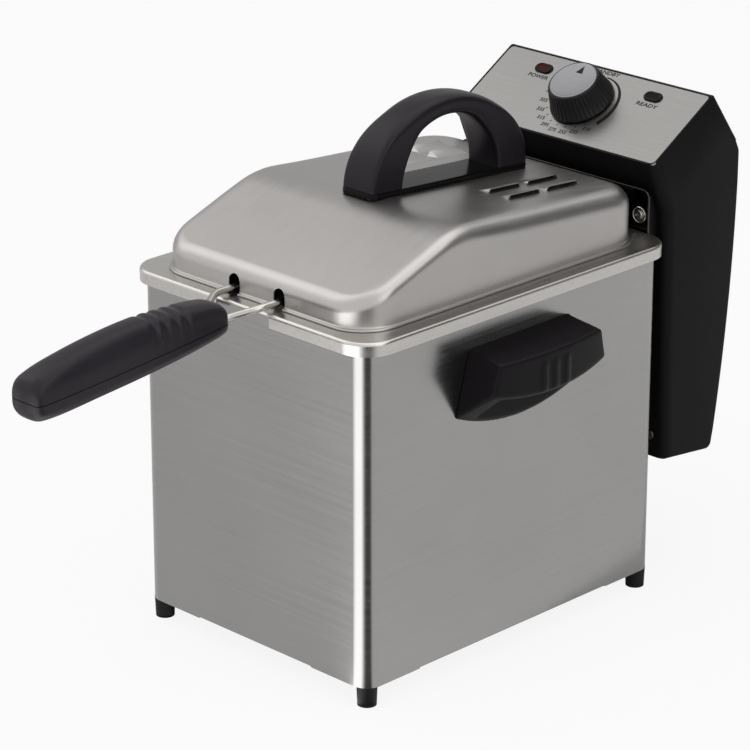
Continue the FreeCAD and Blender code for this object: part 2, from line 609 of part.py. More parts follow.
def lid_handle():
    base = mm("arch_base")
    outer = arch_edge(mm("arch_half"), mm("arch_top") - base, base)
    inner = arch_edge(mm("gap_half"), mm("gap_top") - base, base)
    ends = [Part.makeLine(V(0, side * mm("arch_half"), base), V(0, side * mm("gap_half"), base))
            for side in (1, -1)]
    profile = Part.Face(Part.Wire(Part.sortEdges([outer, inner] + ends)[0]))
    profile.translate(V(-mm("arch_width") / 2, 0, 0))
    arch = profile.extrude(V(mm("arch_width"), 0, 0))
    rims = [edge for edge in arch.Edges if edge.BoundBox.XLength < 0.01 and edge.BoundBox.ZMax > base + 1]
    arch = arch.makeFillet(mm("arch_round"), rims)
    for side in (-1, 1):
        arch = arch.cut(Part.makeCylinder(mm("shank_seat"), 16, V(0, side * mm("arch_screw"), base)))
    node("lid_handle", coded(arch), "slope")
    body = new_body("lid_handle_base")
    plan = new_sketch(body, "XY_Plane")
    half_x, half_y = "(arch_width / 2 + arch_base_over)", "(arch_half + arch_base_over)"
    draw_rounded(plan, f"-{half_x}", half_x, f"-{half_y}", half_y, "arch_round")
    draw_circles(plan, [("0", "-arch_screw"), ("0", "arch_screw")], "shank_hole")
    pad(body, plan, "arch_base")
    node("lid_handle_base", body, "slope")
    screws = [screw("0", f"{side}arch_screw", "-lid_sheet", Z_AXIS, "lid_sheet + arch_base + 14")
              for side in ("-", "")]
    node("lid_handle_screws", group(screws), "slope")


# Control head

PANEL_RUN = "panel_length * cos(panel_tilt * 1deg)"
PANEL_RISE = "panel_length * sin(panel_tilt * 1deg)"
UNDER_PANEL = "panel_thick / cos(panel_tilt * 1deg)"
PLATE_BACK = "(head_front + shell_wall)"
PLATE_SCREWS = [(f"{side}(head_width / 2 - plate_screw_inset)", "plate_screw_z") for side in ("-", "")]
BRACKET_SCREWS = [(f"{side}bracket_screw_x", "bracket_screw_z") for side in ("-", "")]


def head_shell():
    body = new_body("head_shell")
    side = new_sketch(body, "YZ_Plane")
    draw(side, [("head_front", "head_bottom"), ("head_toe", "head_heel"), ("head_rear", "head_rear_low"),
                ("head_rear", "head_rear_high"), ("head_bevel_y", "head_bevel_z"),
                (f"panel_y + {PANEL_RUN}", f"panel_z + {PANEL_RISE} - {UNDER_PANEL}"),
                ("panel_y", f"panel_z - {UNDER_PANEL}"), ("head_waist_y", "head_waist_z")],
         {1: "head_rear_bow"})
    pad(body, side, "head_width", symmetric=True)
    toe, rear = mm("head_toe") - 1, mm("head_rear_high")
    round_edges(body, lambda edge: edge.BoundBox.YMin > toe and edge.BoundBox.XLength < 0.01
                and edge.BoundBox.ZMin < rear + 1, "shell_round")
    room = new_sketch(body, "YZ_Plane")
    ceiling = "(panel_thick + shell_wall) / cos(panel_tilt * 1deg)"
    floor, rear_wall = "head_bottom + shell_wall", "head_rear - shell_wall"
    draw(room, [("panel_y", floor), ("head_toe - shell_wall", floor), (rear_wall, "head_rear_low"),
                (rear_wall, "head_rear_high - 1"),
                ("head_bevel_y - shell_wall", "head_bevel_z - 1"),
                (f"panel_y + {PANEL_RUN} - 1", f"panel_z + {PANEL_RISE} - {ceiling}"),
                ("panel_y", f"panel_z - {ceiling}")], {1: "head_rear_bow"})
    pocket(body, room, "head_width - 2 * shell_wall", symmetric=True)
    inlet = box(("-inlet_half_x", "inlet_half_x"), ("inlet_front", "head_rear"),
                ("inlet_z - inlet_half_z", "inlet_z + inlet_half_z"))
    reset = rod("reset_hole", "30", "-reset_x", "reset_front", "reset_z", Y_AXIS)
    through = [rod("panel_hole", "20", "0", "knob_y", "-10")]
    for side_sign in ("-", ""):
        middle, reach = f"{side_sign}lamp_x", "lamp_length / 2 + 1"
        through.append(box((f"{middle} - ({reach})", f"{middle} + {reach}"),
                           ("lamp_y - lamp_width / 2 - 1", "lamp_y + lamp_width / 2 + 1"), ("-10", "5")))
    panel_tools = group(through)
    panel_tools.Placement = FreeCAD.Placement(V(), FreeCAD.Rotation(X_AXIS, 1))
    bind(panel_tools, Placement__Base__y="panel_y", Placement__Base__z="panel_z",
         Placement__Rotation__Angle=PANEL_TURN)
    wall = "(head_width / 2 - shell_wall / 2)"
    bosses, seats = [], []
    for x, z in PLATE_SCREWS:
        outward = f"-{wall}" if x.startswith("-") else wall
        inward = f"{x} + plate_boss" if x.startswith("-") else f"{x} - plate_boss"
        span = (outward, inward) if x.startswith("-") else (inward, outward)
        bosses.append(box(span, (PLATE_BACK, f"{PLATE_BACK} + 20"),
                          ("head_bottom + shell_wall / 2", f"{z} + plate_boss")))
        seats.append(rod("shank_seat", "12", x, PLATE_BACK, z, Y_AXIS))
    node("head_shell", cut(fuse(body, *bosses), inlet, reset, panel_tools, *seats))


def head_front_plate():
    body = new_body("head_front_plate")
    side = new_sketch(body, "YZ_Plane")
    slant = "(head_waist_y - panel_y) / (panel_z - head_waist_z)"
    top_y = f"(panel_y + (panel_z - plate_top) * {slant})"
    draw(side, [(top_y, "plate_top"), ("head_waist_y", "head_waist_z"),
                ("head_front", "head_bottom + shell_wall + plate_gap"),
                ("head_front + shell_wall", "head_bottom + shell_wall + plate_gap"),
                ("head_waist_y + shell_wall", "head_waist_z + 1"), (f"{top_y} + shell_wall", "plate_top")])
    pad(body, side, "head_width - 2 * shell_wall - 2 * plate_gap", symmetric=True)
    neck = box(("-neck_half", "neck_half"), ("bracket_front + bracket_thick", "head_waist_y + shell_wall"),
               ("neck_low", "neck_high"))
    tongue_back, heights = "(tongue_front + tongue_thick)", ("tongue_low", "tongue_high")
    tongue = box(("-tongue_half", "tongue_half"), ("tongue_front", tongue_back), heights)
    stem = box(("-tongue_neck", "tongue_neck"), (tongue_back, "head_front + 1"), heights)
    holes = element_holes()
    holes += [rod("shank_seat", "12", x, "bracket_front", z, Y_AXIS) for x, z in BRACKET_SCREWS]
    holes += [rod("shank_hole", "10", x, "head_front - 3", z, Y_AXIS) for x, z in PLATE_SCREWS]
    node("head_front_plate", cut(fuse(body, neck, tongue, stem), *holes))
    screws = [screw(x, "head_front - 0.6", z, Y_AXIS, "10") for x, z in PLATE_SCREWS]
    node("front_plate_screws", group(screws))


def element_holes():
    """Holes for the two legs of the heating element and for the capillary."""
    start = "bracket_front - 2"
    legs = [rod("tube_hole", "40", f"{side}leg_x", start, "leg_z", Y_AXIS) for side in ("-", "")]
    return legs + [rod("capillary + 0.4", "40", "0", start, "leg_z", Y_AXIS)]


def control_panel():
    body = new_body("control_panel")
    face = new_sketch(body, "XY_Plane", "-panel_thick")
    half = "(head_width / 2 - panel_edge)"
    draw_rounded(face, f"-{half}", half, "panel_edge", "panel_length - panel_edge", "panel_corner")
    draw_circles(face, [("0", "knob_y")], "panel_hole")
    for side in ("-", ""):
        draw_lamp(face, side, "lamp_play")
    pad(body, face, "panel_thick")
    node("control_panel", body, "panel")


def draw_lamp(sketch, side, play):
    half_x, half_y = f"(lamp_length / 2 + {play})", f"(lamp_width / 2 + {play})"
    draw(sketch, [(f"{side}lamp_x - {half_x} + {half_y}", f"lamp_y - {half_y}"),
                  (f"{side}lamp_x + {half_x} - {half_y}", f"lamp_y - {half_y}"),
                  (f"{side}lamp_x + {half_x}", "lamp_y"),
                  (f"{side}lamp_x + {half_x} - {half_y}", f"lamp_y + {half_y}"),
                  (f"{side}lamp_x - {half_x} + {half_y}", f"lamp_y + {half_y}"),
                  (f"{side}lamp_x - {half_x}", "lamp_y")],
         {i: half_y for i in (1, 2, 4, 5)})


def lamps():
    for name, side in (("power_lamp", "-"), ("ready_lamp", "")):
        body = new_body(name)
        face = new_sketch(body, "XY_Plane", "-lamp_depth")
        draw_lamp(face, side, "0")
        pad(body, face, "lamp_depth + lamp_rise")
        top = mm("lamp_rise")
        round_edges(body, lambda edge: edge.BoundBox.ZMin > top - 0.01, "lamp_rise / 2")
        flange = new_sketch(body, "XY_Plane", "-panel_thick - lamp_flange")
        draw_lamp(flange, side, "lamp_flange")
        pad(body, flange, "lamp_flange")
        node(name, body, "panel")


def element_bracket():
    body = new_body("element_bracket")
    face = new_sketch(body, "XZ_Plane", "-(bracket_front + bracket_thick)")
    draw_rounded(face, "-bracket_half", "bracket_half", "bracket_low", "bracket_high", "bracket_corner")
    pad(body, face, "bracket_thick")
    holes = element_holes()
    holes += [rod("shank_hole", "10", x, "bracket_front - 2", z, Y_AXIS) for x, z in BRACKET_SCREWS]
    node("element_bracket", cut(body, *holes))
    screws = [screw(x, "bracket_front", z, Y_AXIS, "11") for x, z in BRACKET_SCREWS]
    node("bracket_screws", group(screws))


def element_hood():
    body = new_body("element_hood")
    plan = new_sketch(body, "XY_Plane", "hood_low")
    draw_box(plan, "-hood_half", "hood_half", "hood_front", "bracket_front")
    pad(body, plan, "hood_high - hood_low")
    front, high = mm("hood_front"), mm("hood_high")
    round_edges(body, lambda edge: along(edge, X_AXIS) and edge.BoundBox.ZMin > high - 0.1
                and edge.BoundBox.YMax < front + 0.1, "hood_round")
    hollow(body, lambda face: faces_towards(face, -Z_AXIS) or faces_towards(face, Y_AXIS), "bracket_thick")
    node("element_hood", body)


def heating_element():
    x, y, z, end = mm("leg_x"), mm("leg_y"), mm("leg_z"), mm("leg_end")
    low, front, back, turn = mm("coil_z"), -mm("coil_front"), mm("coil_back"), mm("coil_turn")
    leg_bend, coil_bend = mm("leg_bend"), mm("coil_bend")
    stops = [((-x, end, z), 0), ((-x, y, z), leg_bend), ((-x, y, low), coil_bend)]
    for step in range(3):
        left = -x + 2 * turn * step
        line = front if step % 2 == 0 else back
        stops += [((left, line, low), turn), ((left + 2 * turn, line, low), turn)]
    stops += [((x, y, low), coil_bend), ((x, y, z), leg_bend), ((x, end, z), 0)]
    node("heating_element", coded(tube_along(stops, mm("tube"))))
    ties = [box(("-tie_half", "tie_half"), (f"{side}tie_y - tie_width / 2", f"{side}tie_y + tie_width / 2"),
                ("coil_z + tube", "coil_z + tube + tie_thick")) for side in ("-", "")]
    node("element_ties", group(ties))


def thermostat():
    low, high = mm("coil_z"), mm("capillary_z")
    back, y, z = mm("bulb_back"), mm("leg_y"), mm("leg_z")
    stops = [((0, back - 2, low), 0), ((0, back + 12, low), 6), ((0, back + 24, high), 6),
             ((0, y, high), 6), ((0, y, z), 6), ((0, mm("leg_end"), z), 0)]
    bulb = Part.makeCylinder(mm("bulb"), back + mm("bulb_front"), V(0, -mm("bulb_front"), low), Y_AXIS)
    node("thermostat_bulb", coded(bulb.fuse(tube_along(stops, mm("capillary")))))
    ceiling = "(panel_thick + shell_wall)"
    span = ("-stat_half", "stat_half")
    case = box(span, span, (f"-({ceiling} + stat_depth)", f"-{ceiling}"))
    collar = rod("bush", ceiling, "0", "0", f"-{ceiling}")
    bore = rod("shaft_bore", "shaft_low + 4", "0", "0", "-(shaft_low + 2)")
    node("thermostat", cut(fuse(case, collar), bore), "knob")


def inner_blocks():
    floor = "head_bottom + shell_wall"
    node("terminal_block", group([box(("block_x", "block_x + block_length"),
                                      ("block_front", "block_front + block_depth"),
                                      (floor, f"{floor} + block_height"))]))
    node("thermal_cutout", group([box(("-(reset_x + cutout_half)", "-(reset_x - cutout_half)"),
                                      ("cutout_front", "cutout_rear"), (floor, "cutout_high"))]))
    button = rod("reset", "reset_rear - reset_front", "-reset_x", "reset_front", "reset_z", Y_AXIS)
    node("reset_button", group([button]))
    shell = box(("-inlet_half_x", "inlet_half_x"), ("inlet_front", "inlet_rear"),
                ("inlet_z - inlet_half_z", "inlet_z + inlet_half_z"))
    socket = box(("-socket_half_x", "socket_half_x"), ("inlet_rear - socket_depth", "inlet_rear + 1"),
                 ("inlet_z - socket_half_z", "inlet_z + socket_half_z"))
    seats, pins = [], []
    for side in ("-", ""):
        start = (f"{side}pin_x", "inlet_rear - socket_depth - 3", "inlet_z")
        seats.append(rod("pin", "4", *start, Y_AXIS))
        pins.append(rod("pin", "3 + pin_rise", *start, Y_AXIS))
    node("inlet_socket", cut(shell, socket, *seats))
    node("inlet_pins", group(pins))


def knob():
    body = new_body("knob_skirt")
    profile = new_sketch(body, "YZ_Plane")
    inner, seat = "knob_low + knob_hollow_depth", "knob_high - cap_seat"
    draw(profile, [("shaft", inner), ("knob_hollow", inner), ("knob_hollow", "knob_low"),
                   ("knob_foot", "knob_low"), ("knob_crown", "knob_high"), ("cap_radius", "knob_high"),
                   ("cap_radius", seat), ("shaft", seat)])
    turned = body.newObject("PartDesign::Revolution", "turned")
    turned.Profile = profile
    turned.ReferenceAxis = (profile, ["V_Axis"])
    turned.Angle = 360
    doc.recompute()
    foot, crown = mm("knob_foot"), mm("knob_crown")
    low, high = mm("knob_low") - 1, mm("knob_high") + 1
    lean = (foot - crown) / (mm("knob_high") - mm("knob_low"))
    shape = body.Shape.copy()
    count, rib = int(mm("rib_count")), mm("rib_radius")
    groove_length = (high - low) * math.hypot(1, lean)
    groove = Part.makeCylinder(rib, groove_length, V(0, foot + lean, low), V(0, -lean, 1))
    grooves = []
    for step in range(count):
        turned_groove = groove.copy()
        turned_groove.rotate(V(), Z_AXIS, 360 * step / count)
        grooves.append(turned_groove)
    node("knob_skirt", coded(shape.cut(grooves)), "knob")
    cap = rod("cap_radius", "cap_thick", "0", "0", "knob_high - cap_seat")
    node("knob_cap", group([cap]), "knob")
    shaft = rod("shaft", "shaft_low + shaft_high", "0", "0", "-shaft_low")
    node("thermostat_shaft", group([shaft]), "knob")


# Basket and its handle

def basket():
    body = new_body("basket_mesh")
    foot = new_sketch(body, "XY_Plane", "basket_low")
    draw_rounded(foot, "-(basket_half - basket_taper)", "basket_half - basket_taper",
                 "-(basket_front - basket_taper)", "basket_rear - basket_taper", "basket_corner")
    mouth = new_sketch(body, "XY_Plane", "basket_high")
    draw_rounded(mouth, "-basket_half", "basket_half", "-basket_front", "basket_rear", "basket_corner")
    loft = body.newObject("PartDesign::AdditiveLoft", "walls")
    loft.Profile = foot
    loft.Sections = [mouth]
    loft.Ruled = True
    doc.recompute()
    hollow(body, lambda face: faces_towards(face, Z_AXIS), "basket_wall")
    node("basket_mesh", body)
    wire, inset = mm("rim_wire"), mm("basket_wall") / 2
    half, front, rear = mm("basket_half") - inset, mm("basket_front") - inset, mm("basket_rear") - inset
    height, corner = mm("basket_high") + wire, mm("basket_corner")
    stops = [((0, rear, height), 0), ((half, rear, height), corner), ((half, -front, height), corner),
             ((-half, -front, height), corner), ((-half, rear, height), corner), ((0, rear, height), 0)]
    node("basket_rim", coded(tube_along(stops, wire)))
    face = "(basket_front - basket_wall / 2 + rim_wire)"
    start = f"-({face} + hanger_thick)"
    plate = box(("-hanger_half", "hanger_half"), (start, f"-{face}"), ("hanger_low", "hanger_high"))
    sockets, bores = [], []
    for side in ("-", ""):
        x = f"{side}slot_gap"
        sockets.append(rod("socket_outer", "socket_length", x, start, "wire_z", Y_AXIS))
        bores.append(rod("wire_bore", "socket_length + 4", x, f"{start} - 2", "wire_z", Y_AXIS))
    node("basket_hanger", cut(fuse(plate, *sockets), *bores))


def wire_stops(side):
    """One handle wire: straight through its lid slot, then drawn in to the grip."""
    gap, spread = side * mm("slot_gap"), side * mm("wire_spread")
    return [((gap, -mm("wire_end"), mm("wire_z")), 0), ((gap, -mm("wire_knee"), mm("wire_z")), 8),
            ((spread, -mm("grip_rear") - 4, mm("wire_low")), 8),
            ((spread, -mm("wire_tip"), mm("wire_tip_z")), 0)]


# Stations along the grip: share of its length from the front, half width,
# height over and depth under the part line
GRIP_STATIONS = [(0.0, 9.5, 8.0, 6.5), (0.04, 12.2, 13.0, 11.0), (0.14, 13.0, 17.4, 12.2),
                 (0.32, 13.4, 20.6, 11.7), (0.55, 13.2, 21.4, 11.2), (0.78, 12.9, 18.0, 10.0),
                 (0.93, 12.5, 13.8, 8.2), (1.0, 11.0, 8.5, 6.2)]


def grip_section(share, half, rise):
    """Half section of the grip, flat on the part line and rounded away from it."""
    y = -mm("grip_front") + share * mm("grip_front - grip_rear")
    line = mm("part_low") + mm("part_climb") * share * (0.8 + 0.2 * share)
    shoulder, crown = 0.4 * rise, 0.45 * half
    bend_x, bend_z = 0.68 * half + 0.32 * crown, 0.68 * rise + 0.32 * shoulder
    right, left = V(half, y, line), V(-half, y, line)
    right_up, left_up = V(half, y, line + shoulder), V(-half, y, line + shoulder)
    top_right, top_left = V(crown, y, line + rise), V(-crown, y, line + rise)
    return Part.Wire([Part.makeLine(left, right), Part.makeLine(right, right_up),
                      Part.Arc(right_up, V(bend_x, y, line + bend_z), top_right).toShape(),
                      Part.makeLine(top_right, top_left),
                      Part.Arc(top_left, V(-bend_x, y, line + bend_z), left_up).toShape(),
                      Part.makeLine(left_up, left)])


def basket_handle():
    wires = [tube_along(wire_stops(side), mm("wire")) for side in (-1, 1)]
    node("handle_wires", coded(Part.makeCompound(wires)))
    channels = [tube_along(wire_stops(side), mm("wire_bore")) for side in (-1, 1)]
    screw_lines = [-mm("grip_screw_rear"), -mm("grip_screw_front")]
    seat, wide = mm("part_low") - 3, mm("grip_screw_head") + 0.3
    shanks = [Part.makeCylinder(mm("grip_screw"), 16, V(0, y, seat)) for y in screw_lines]
    heads = [Part.makeCylinder(wide, 20, V(0, y, seat - 20)) for y in screw_lines]
    over = [grip_section(share, half, rise) for share, half, rise, _ in GRIP_STATIONS]
    under = [grip_section(share, half, -drop) for share, half, _, drop in GRIP_STATIONS]
    upper = Part.makeLoft(over, True, False)
    lower = Part.makeLoft(under, True, False)
    node("grip_upper", coded(upper.cut(channels + shanks)))
    node("grip_lower", coded(lower.cut(channels + shanks + heads)))
    screws = [screw("0", f"-{line}", "part_low - 3", Z_AXIS, "15", ("grip_screw_head", "2"), "grip_screw")
              for line in ("grip_screw_rear", "grip_screw_front")]
    node("grip_screws", group(screws))


for make in (housing_shell, base_plate, feet, rear_guide, side_handles, oil_pot, lid_shell, lid_handle,
             head_shell, head_front_plate, control_panel, lamps, element_bracket, element_hood,
             heating_element, thermostat, inner_blocks, knob, basket, basket_handle):
    make()
doc.recompute()

for item in doc.Objects:
    if "Invalid" in item.State or "Error" in item.State:
        raise ValueError(f"{item.Label}: {item.State}")
for name, thing in nodes.items():
    if thing.Shape.isNull() or not thing.Shape.isValid() or not thing.Shape.Solids:
        raise ValueError(f"{name}: no valid solid")

os.makedirs("parts", exist_ok=True)
for name, thing in nodes.items():
    thing.Shape.exportStep(f"parts/{name}.step")
    limits = thing.Shape.optimalBoundingBox(False, False)
    spans = [(limits.XMin, limits.XMax), (limits.YMin, limits.YMax), (limits.ZMin, limits.ZMax)]
    print(f"{name}: {len(thing.Shape.Solids)} solids, {thing.Shape.Volume:.0f} mm3,",
          ", ".join(f"{low:.1f} to {high:.1f}" for low, high in spans))
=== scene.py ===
import bmesh
import bpy
from math import atan2, copysign, cos, hypot, pi, radians, sin, sqrt, tan
from mathutils import Matrix, Vector


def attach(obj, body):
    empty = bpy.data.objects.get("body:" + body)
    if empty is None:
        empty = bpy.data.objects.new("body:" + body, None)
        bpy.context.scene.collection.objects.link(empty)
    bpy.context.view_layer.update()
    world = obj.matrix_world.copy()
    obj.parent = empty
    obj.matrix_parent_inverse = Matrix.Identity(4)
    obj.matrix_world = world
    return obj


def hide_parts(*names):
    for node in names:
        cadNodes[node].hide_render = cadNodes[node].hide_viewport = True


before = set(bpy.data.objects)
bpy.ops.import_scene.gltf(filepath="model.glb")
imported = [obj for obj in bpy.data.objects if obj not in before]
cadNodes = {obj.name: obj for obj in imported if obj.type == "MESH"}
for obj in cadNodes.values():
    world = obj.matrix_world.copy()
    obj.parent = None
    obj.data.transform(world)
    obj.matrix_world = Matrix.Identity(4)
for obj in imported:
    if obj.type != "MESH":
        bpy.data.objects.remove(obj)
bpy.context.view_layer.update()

scene = bpy.context.scene
scene.view_settings.view_transform = "Standard"
tankY = 40.75  # middle of the tank, mm from the row's origin


def rowPoint(point):  # tank millimetres to row metres
    return Vector((point[0], point[1] + tankY, point[2])) / 1000


def smoothStep(low, high, value):
    share = min(max((value - low) / (high - low), 0.0), 1.0)
    return share * share * (3 - 2 * share)


def blend(low, high, share):
    return low + (high - low) * share


def arc(x, y, r, first, last, steps):  # points on a circle, angles in degrees
    angles = [radians(blend(first, last, k / steps)) for k in range(steps + 1)]
    return [(x + r * cos(a), y + r * sin(a)) for a in angles]


def tilted(y, z, tilt, x, along, up):  # from a tilted frame at (0, y, z)
    return (x, y + along * cos(tilt) - up * sin(tilt), z + along * sin(tilt) + up * cos(tilt))


def between(stations, share):  # smooth run through (share, value, ...) rows
    last = len(stations) - 1
    i = max(k for k in range(last) if stations[k][0] <= share)
    (s0, *low), (s1, *high) = stations[i], stations[i + 1]
    mix = (share - s0) / (s1 - s0)
    ease = mix * mix * (3 - 2 * mix)
    values = []
    for c, (a, b) in enumerate(zip(low, high), start=1):
        start, end = [(stations[min(k + 1, last)][c] - stations[max(k - 1, 0)][c]) * (s1 - s0)
                      / (stations[min(k + 1, last)][0] - stations[max(k - 1, 0)][0]) for k in (i, i + 1)]
        values.append(a + (b - a) * ease + start * mix * (1 - mix) ** 2 - end * mix * mix * (1 - mix))
    return values


# Nodes and finishes

def linear(hexText):  # sRGB hex to linear colour
    parts = [int(hexText[i:i + 2], 16) / 255 for i in (1, 3, 5)]
    return [c / 12.92 if c <= 0.04045 else ((c + 0.055) / 1.055) ** 2.4 for c in parts] + [1.0]


def addNode(tree, kind, links=None, **settings):
    prefix = "" if kind.startswith("NodeGroup") else tree.type.title() + "Node"
    node = tree.nodes.new(prefix + kind)
    for key, value in settings.items():
        name = key.replace("_", " ")
        if name in node.inputs:
            node.inputs[name].default_value = value
        else:
            setattr(node, key, value)
    for socket, source in (links or {}).items():  # a node stands for its first output
        tree.links.new(getattr(source, "outputs", [source])[0], node.inputs[socket])
    return node


def newFinish(name):
    finish = bpy.data.materials.new(name)
    finish.use_nodes = True
    finish.node_tree.nodes.clear()
    return finish, finish.node_tree


def closeFinish(tree, shader):
    addNode(tree, "OutputMaterial", {"Surface": shader})


def ranged(tree, noise, low, high):  # most of a noise lies between 0.3 and 0.7
    return addNode(tree, "MapRange", {"Value": noise}, From_Min=0.3, From_Max=0.7,
                   To_Min=low, To_Max=high)


def tinted(tree, colour, factor):
    shade = addNode(tree, "VectorMath", {"Scale": factor}, operation="SCALE")
    shade.inputs[0].default_value = linear(colour)[:3]
    return shade


def closeSurface(tree, shade, rough, height, depth, **settings):
    relief = addNode(tree, "Bump", {"Height": height}, Strength=depth, Distance=0.0002)
    closeFinish(tree, addNode(tree, "BsdfPrincipled", {
        "Base Color": shade, "Roughness": rough, "Normal": relief}, **settings))


def brushedSteel(name, colour, roughness, grain, depth=0.02, spread=0.05):
    # stainless sheet, satin ground: fine parallel lines that soften what it mirrors
    finish, tree = newFinish(name)
    spot = addNode(tree, "TexCoord").outputs["Object"]
    run = addNode(tree, "Mapping", {"Vector": spot}, Scale=grain)
    lines = addNode(tree, "TexNoise", {"Vector": run}, Scale=1.0, Detail=4.0, Roughness=0.6)
    cloud = addNode(tree, "TexNoise", {"Vector": spot}, Scale=14.0, Detail=2.0)
    tone, drift = ranged(tree, lines, 1 - spread, 1 + spread), ranged(tree, cloud, 0.97, 1.03)
    both = addNode(tree, "Math", {0: tone, 1: drift}, operation="MULTIPLY")
    rough = ranged(tree, lines, roughness - 0.04, roughness + 0.04)
    closeSurface(tree, tinted(tree, colour, both), rough, lines, depth, Metallic=1.0)
    return finish


def mouldedPlastic(name, colour, roughness, grainSize, depth, sheen=0.3):
    # injection moulded plastic: spark-eroded grain, slightly uneven gloss
    finish, tree = newFinish(name)
    spot = addNode(tree, "TexCoord").outputs["Object"]
    grain = addNode(tree, "TexNoise", {"Vector": spot}, Scale=1000 / grainSize, Detail=3.0,
                    Roughness=0.6)
    cloud = addNode(tree, "TexNoise", {"Vector": spot}, Scale=25.0, Detail=3.0)
    shade = tinted(tree, colour, ranged(tree, cloud, 0.92, 1.08))
    rough = ranged(tree, grain, roughness - 0.05, roughness + 0.05)
    closeSurface(tree, shade, rough, grain, depth, Specular_IOR_Level=sheen)
    return finish


# name, colour, roughness, lines per metre along x, y and z, relief, spread of tone
steels = {  # lines too fine to show are drawn about 1 mm apart
    "housingSteel": ("satin_stainless_housing", "#a2a1a0", 0.22, (7, 7, 700), 0.001, 0.02),
    "lidSteel": ("satin_stainless_lid", "#b3b0ae", 0.34, (900, 40, 40), 0.004, 0.025),
    "potSteel": ("pressed_stainless_pot", "#c8c5c1", 0.30, (300, 9, 300), 0.01, 0.03),
    "brightSteel": ("bright_zinc_steel", "#c4c1bc", 0.2, (300, 300, 40)),
    # the dark base colour is a painted reflection of the black head case, on the bracket and the element hood
    "mirrorSteel": ("polished_stainless_painted_dark_reflection", "#4b4745", 0.12, (300, 300, 40)),
    "wireSteel": ("plated_wire", "#bcb9b4", 0.2, (200, 200, 200)),
    "darkSteel": ("heat_dulled_steel", "#5d5956", 0.4, (200, 200, 60)),
    "panelSteel": ("brushed_stainless_panel", "#93918f", 0.34, (12, 900, 900), 0.02, 0.06),
    "capSteel": ("spun_aluminium_cap", "#8b8a8d", 0.34, (12, 900, 900), 0.02, 0.06),
    "brass": ("brass_contact", "#b08d4c", 0.25, (200, 200, 60)),
}
# name, colour, roughness, grain in mm, relief, sheen
plastics = {
    # the same phenolic as the side handles, painted lighter as painted light for the light the arch catches
    "archPlastic": ("black_phenolic_lid_handle_painted_lighter", "#1b161c", 0.36, 0.9, 0.08, 0.22),
    "handlePlastic": ("black_phenolic_handles", "#151215", 0.38, 0.9, 0.08, 0.1),
    "gripPlastic": ("black_phenolic_grip", "#252027", 0.36, 1.1, 0.12, 0.22),
    "headPlastic": ("black_polypropylene_head", "#100e10", 0.5, 0.8, 0.1, 0.1),
    "glossPlastic": ("gloss_black_plastic", "#0d0c0d", 0.2, 2.0, 0.02, 0.1),
    "footRubber": ("black_rubber_feet", "#161517", 0.6, 0.8, 0.1, 0.25),
    "knobPlastic": ("black_abs_knob", "#131113", 0.38, 0.9, 0.06, 0.25),
    "redLens": ("red_acrylic_lens", "#480d0d", 0.2, 1.5, 0.03, 0.05),
    "darkLens": ("smoked_acrylic_lens", "#120d0f", 0.2, 1.5, 0.03, 0.05),
    "redButton": ("red_abs_button", "#9c2620", 0.4, 0.9, 0.06),
    "paleBlock": ("pale_polyamide_block", "#c9c4b6", 0.5, 0.9, 0.06),
    "printInk": ("black_screen_print", "#0e0d0f", 0.5, 0.6, 0.02, 0.2),
}
finishes = {key: brushedSteel(*row) for key, row in steels.items()}
finishes.update({key: mouldedPlastic(*row) for key, row in plastics.items()})
print("finishes", len(finishes))


# Making pieces

def meshFrom(name, points, faces, facing=None):
    # closed shapes get outward normals; a sheet is turned so that its first face looks along facing
    mesh = bpy.data.meshes.new(name)
    mesh.from_pydata([rowPoint(p) for p in points], [], faces)
    tidy = bmesh.new()
    tidy.from_mesh(mesh)
    bmesh.ops.remove_doubles(tidy, verts=tidy.verts, dist=1e-6)
    bmesh.ops.dissolve_degenerate(tidy, edges=tidy.edges, dist=1e-7)
    bmesh.ops.recalc_face_normals(tidy, faces=tidy.faces)
    tidy.faces.ensure_lookup_table()
    if facing and tidy.faces[0].normal.dot(Vector(facing)) < 0:
        bmesh.ops.reverse_faces(tidy, faces=tidy.faces)
    tidy.to_mesh(mesh)
    tidy.free()
    return mesh


def newObject(name, mesh):
    obj = bpy.data.objects.new(name, mesh)
    scene.collection.objects.link(obj)
    return obj


def shapeObject(name, shape, facing=None):
    return newObject(name, meshFrom(name, *shape, facing=facing))


def finalMesh(obj):
    return bpy.data.meshes.new_from_object(obj.evaluated_get(bpy.context.evaluated_depsgraph_get()))


def settle(obj):  # modifiers become plain mesh
    mesh = finalMesh(obj)
    obj.modifiers.clear()
    obj.data = mesh
    return obj


def modify(obj, kind, **settings):  # one modifier, settled at once
    step = obj.modifiers.new(kind, kind)
    for key, value in settings.items():
        setattr(step, key, value)
    return settle(obj)


def place(obj, finish, body, slot, replaced=(), sharp=35):
    obj.data.materials.clear()
    obj.data.materials.append(finishes[finish])
    obj.data.shade_smooth()
    obj.data.set_sharp_from_angle(angle=radians(sharp))
    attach(obj, body)
    if replaced:
        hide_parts(*replaced)


def stitch(rings, closedAround=True, capStart=False, capEnd=False):
    # quads between rings of equal length
    count = len(rings[0])
    points = [p for ring in rings for p in ring]
    faces = []
    for i in range(len(rings) - 1):
        for j in range(count if closedAround else count - 1):
            k = (j + 1) % count
            faces.append((i * count + j, i * count + k, (i + 1) * count + k, (i + 1) * count + j))
    if capStart:
        faces.append(tuple(range(count - 1, -1, -1)))
    if capEnd:
        faces.append(tuple(range((len(rings) - 1) * count, len(rings) * count)))
    return points, faces


def closed(rings):  # rings with both ends capped
    return stitch(rings, capStart=True, capEnd=True)


def placeShape(name, shape, *rest, **more):
    place(shapeObject(name, shape), *rest, **more)


def cutAway(obj, cutter):  # boolean between closed shapes
    modify(obj, "BOOLEAN", object=cutter, operation="DIFFERENCE", solver="MANIFOLD")
    bpy.data.objects.remove(cutter)


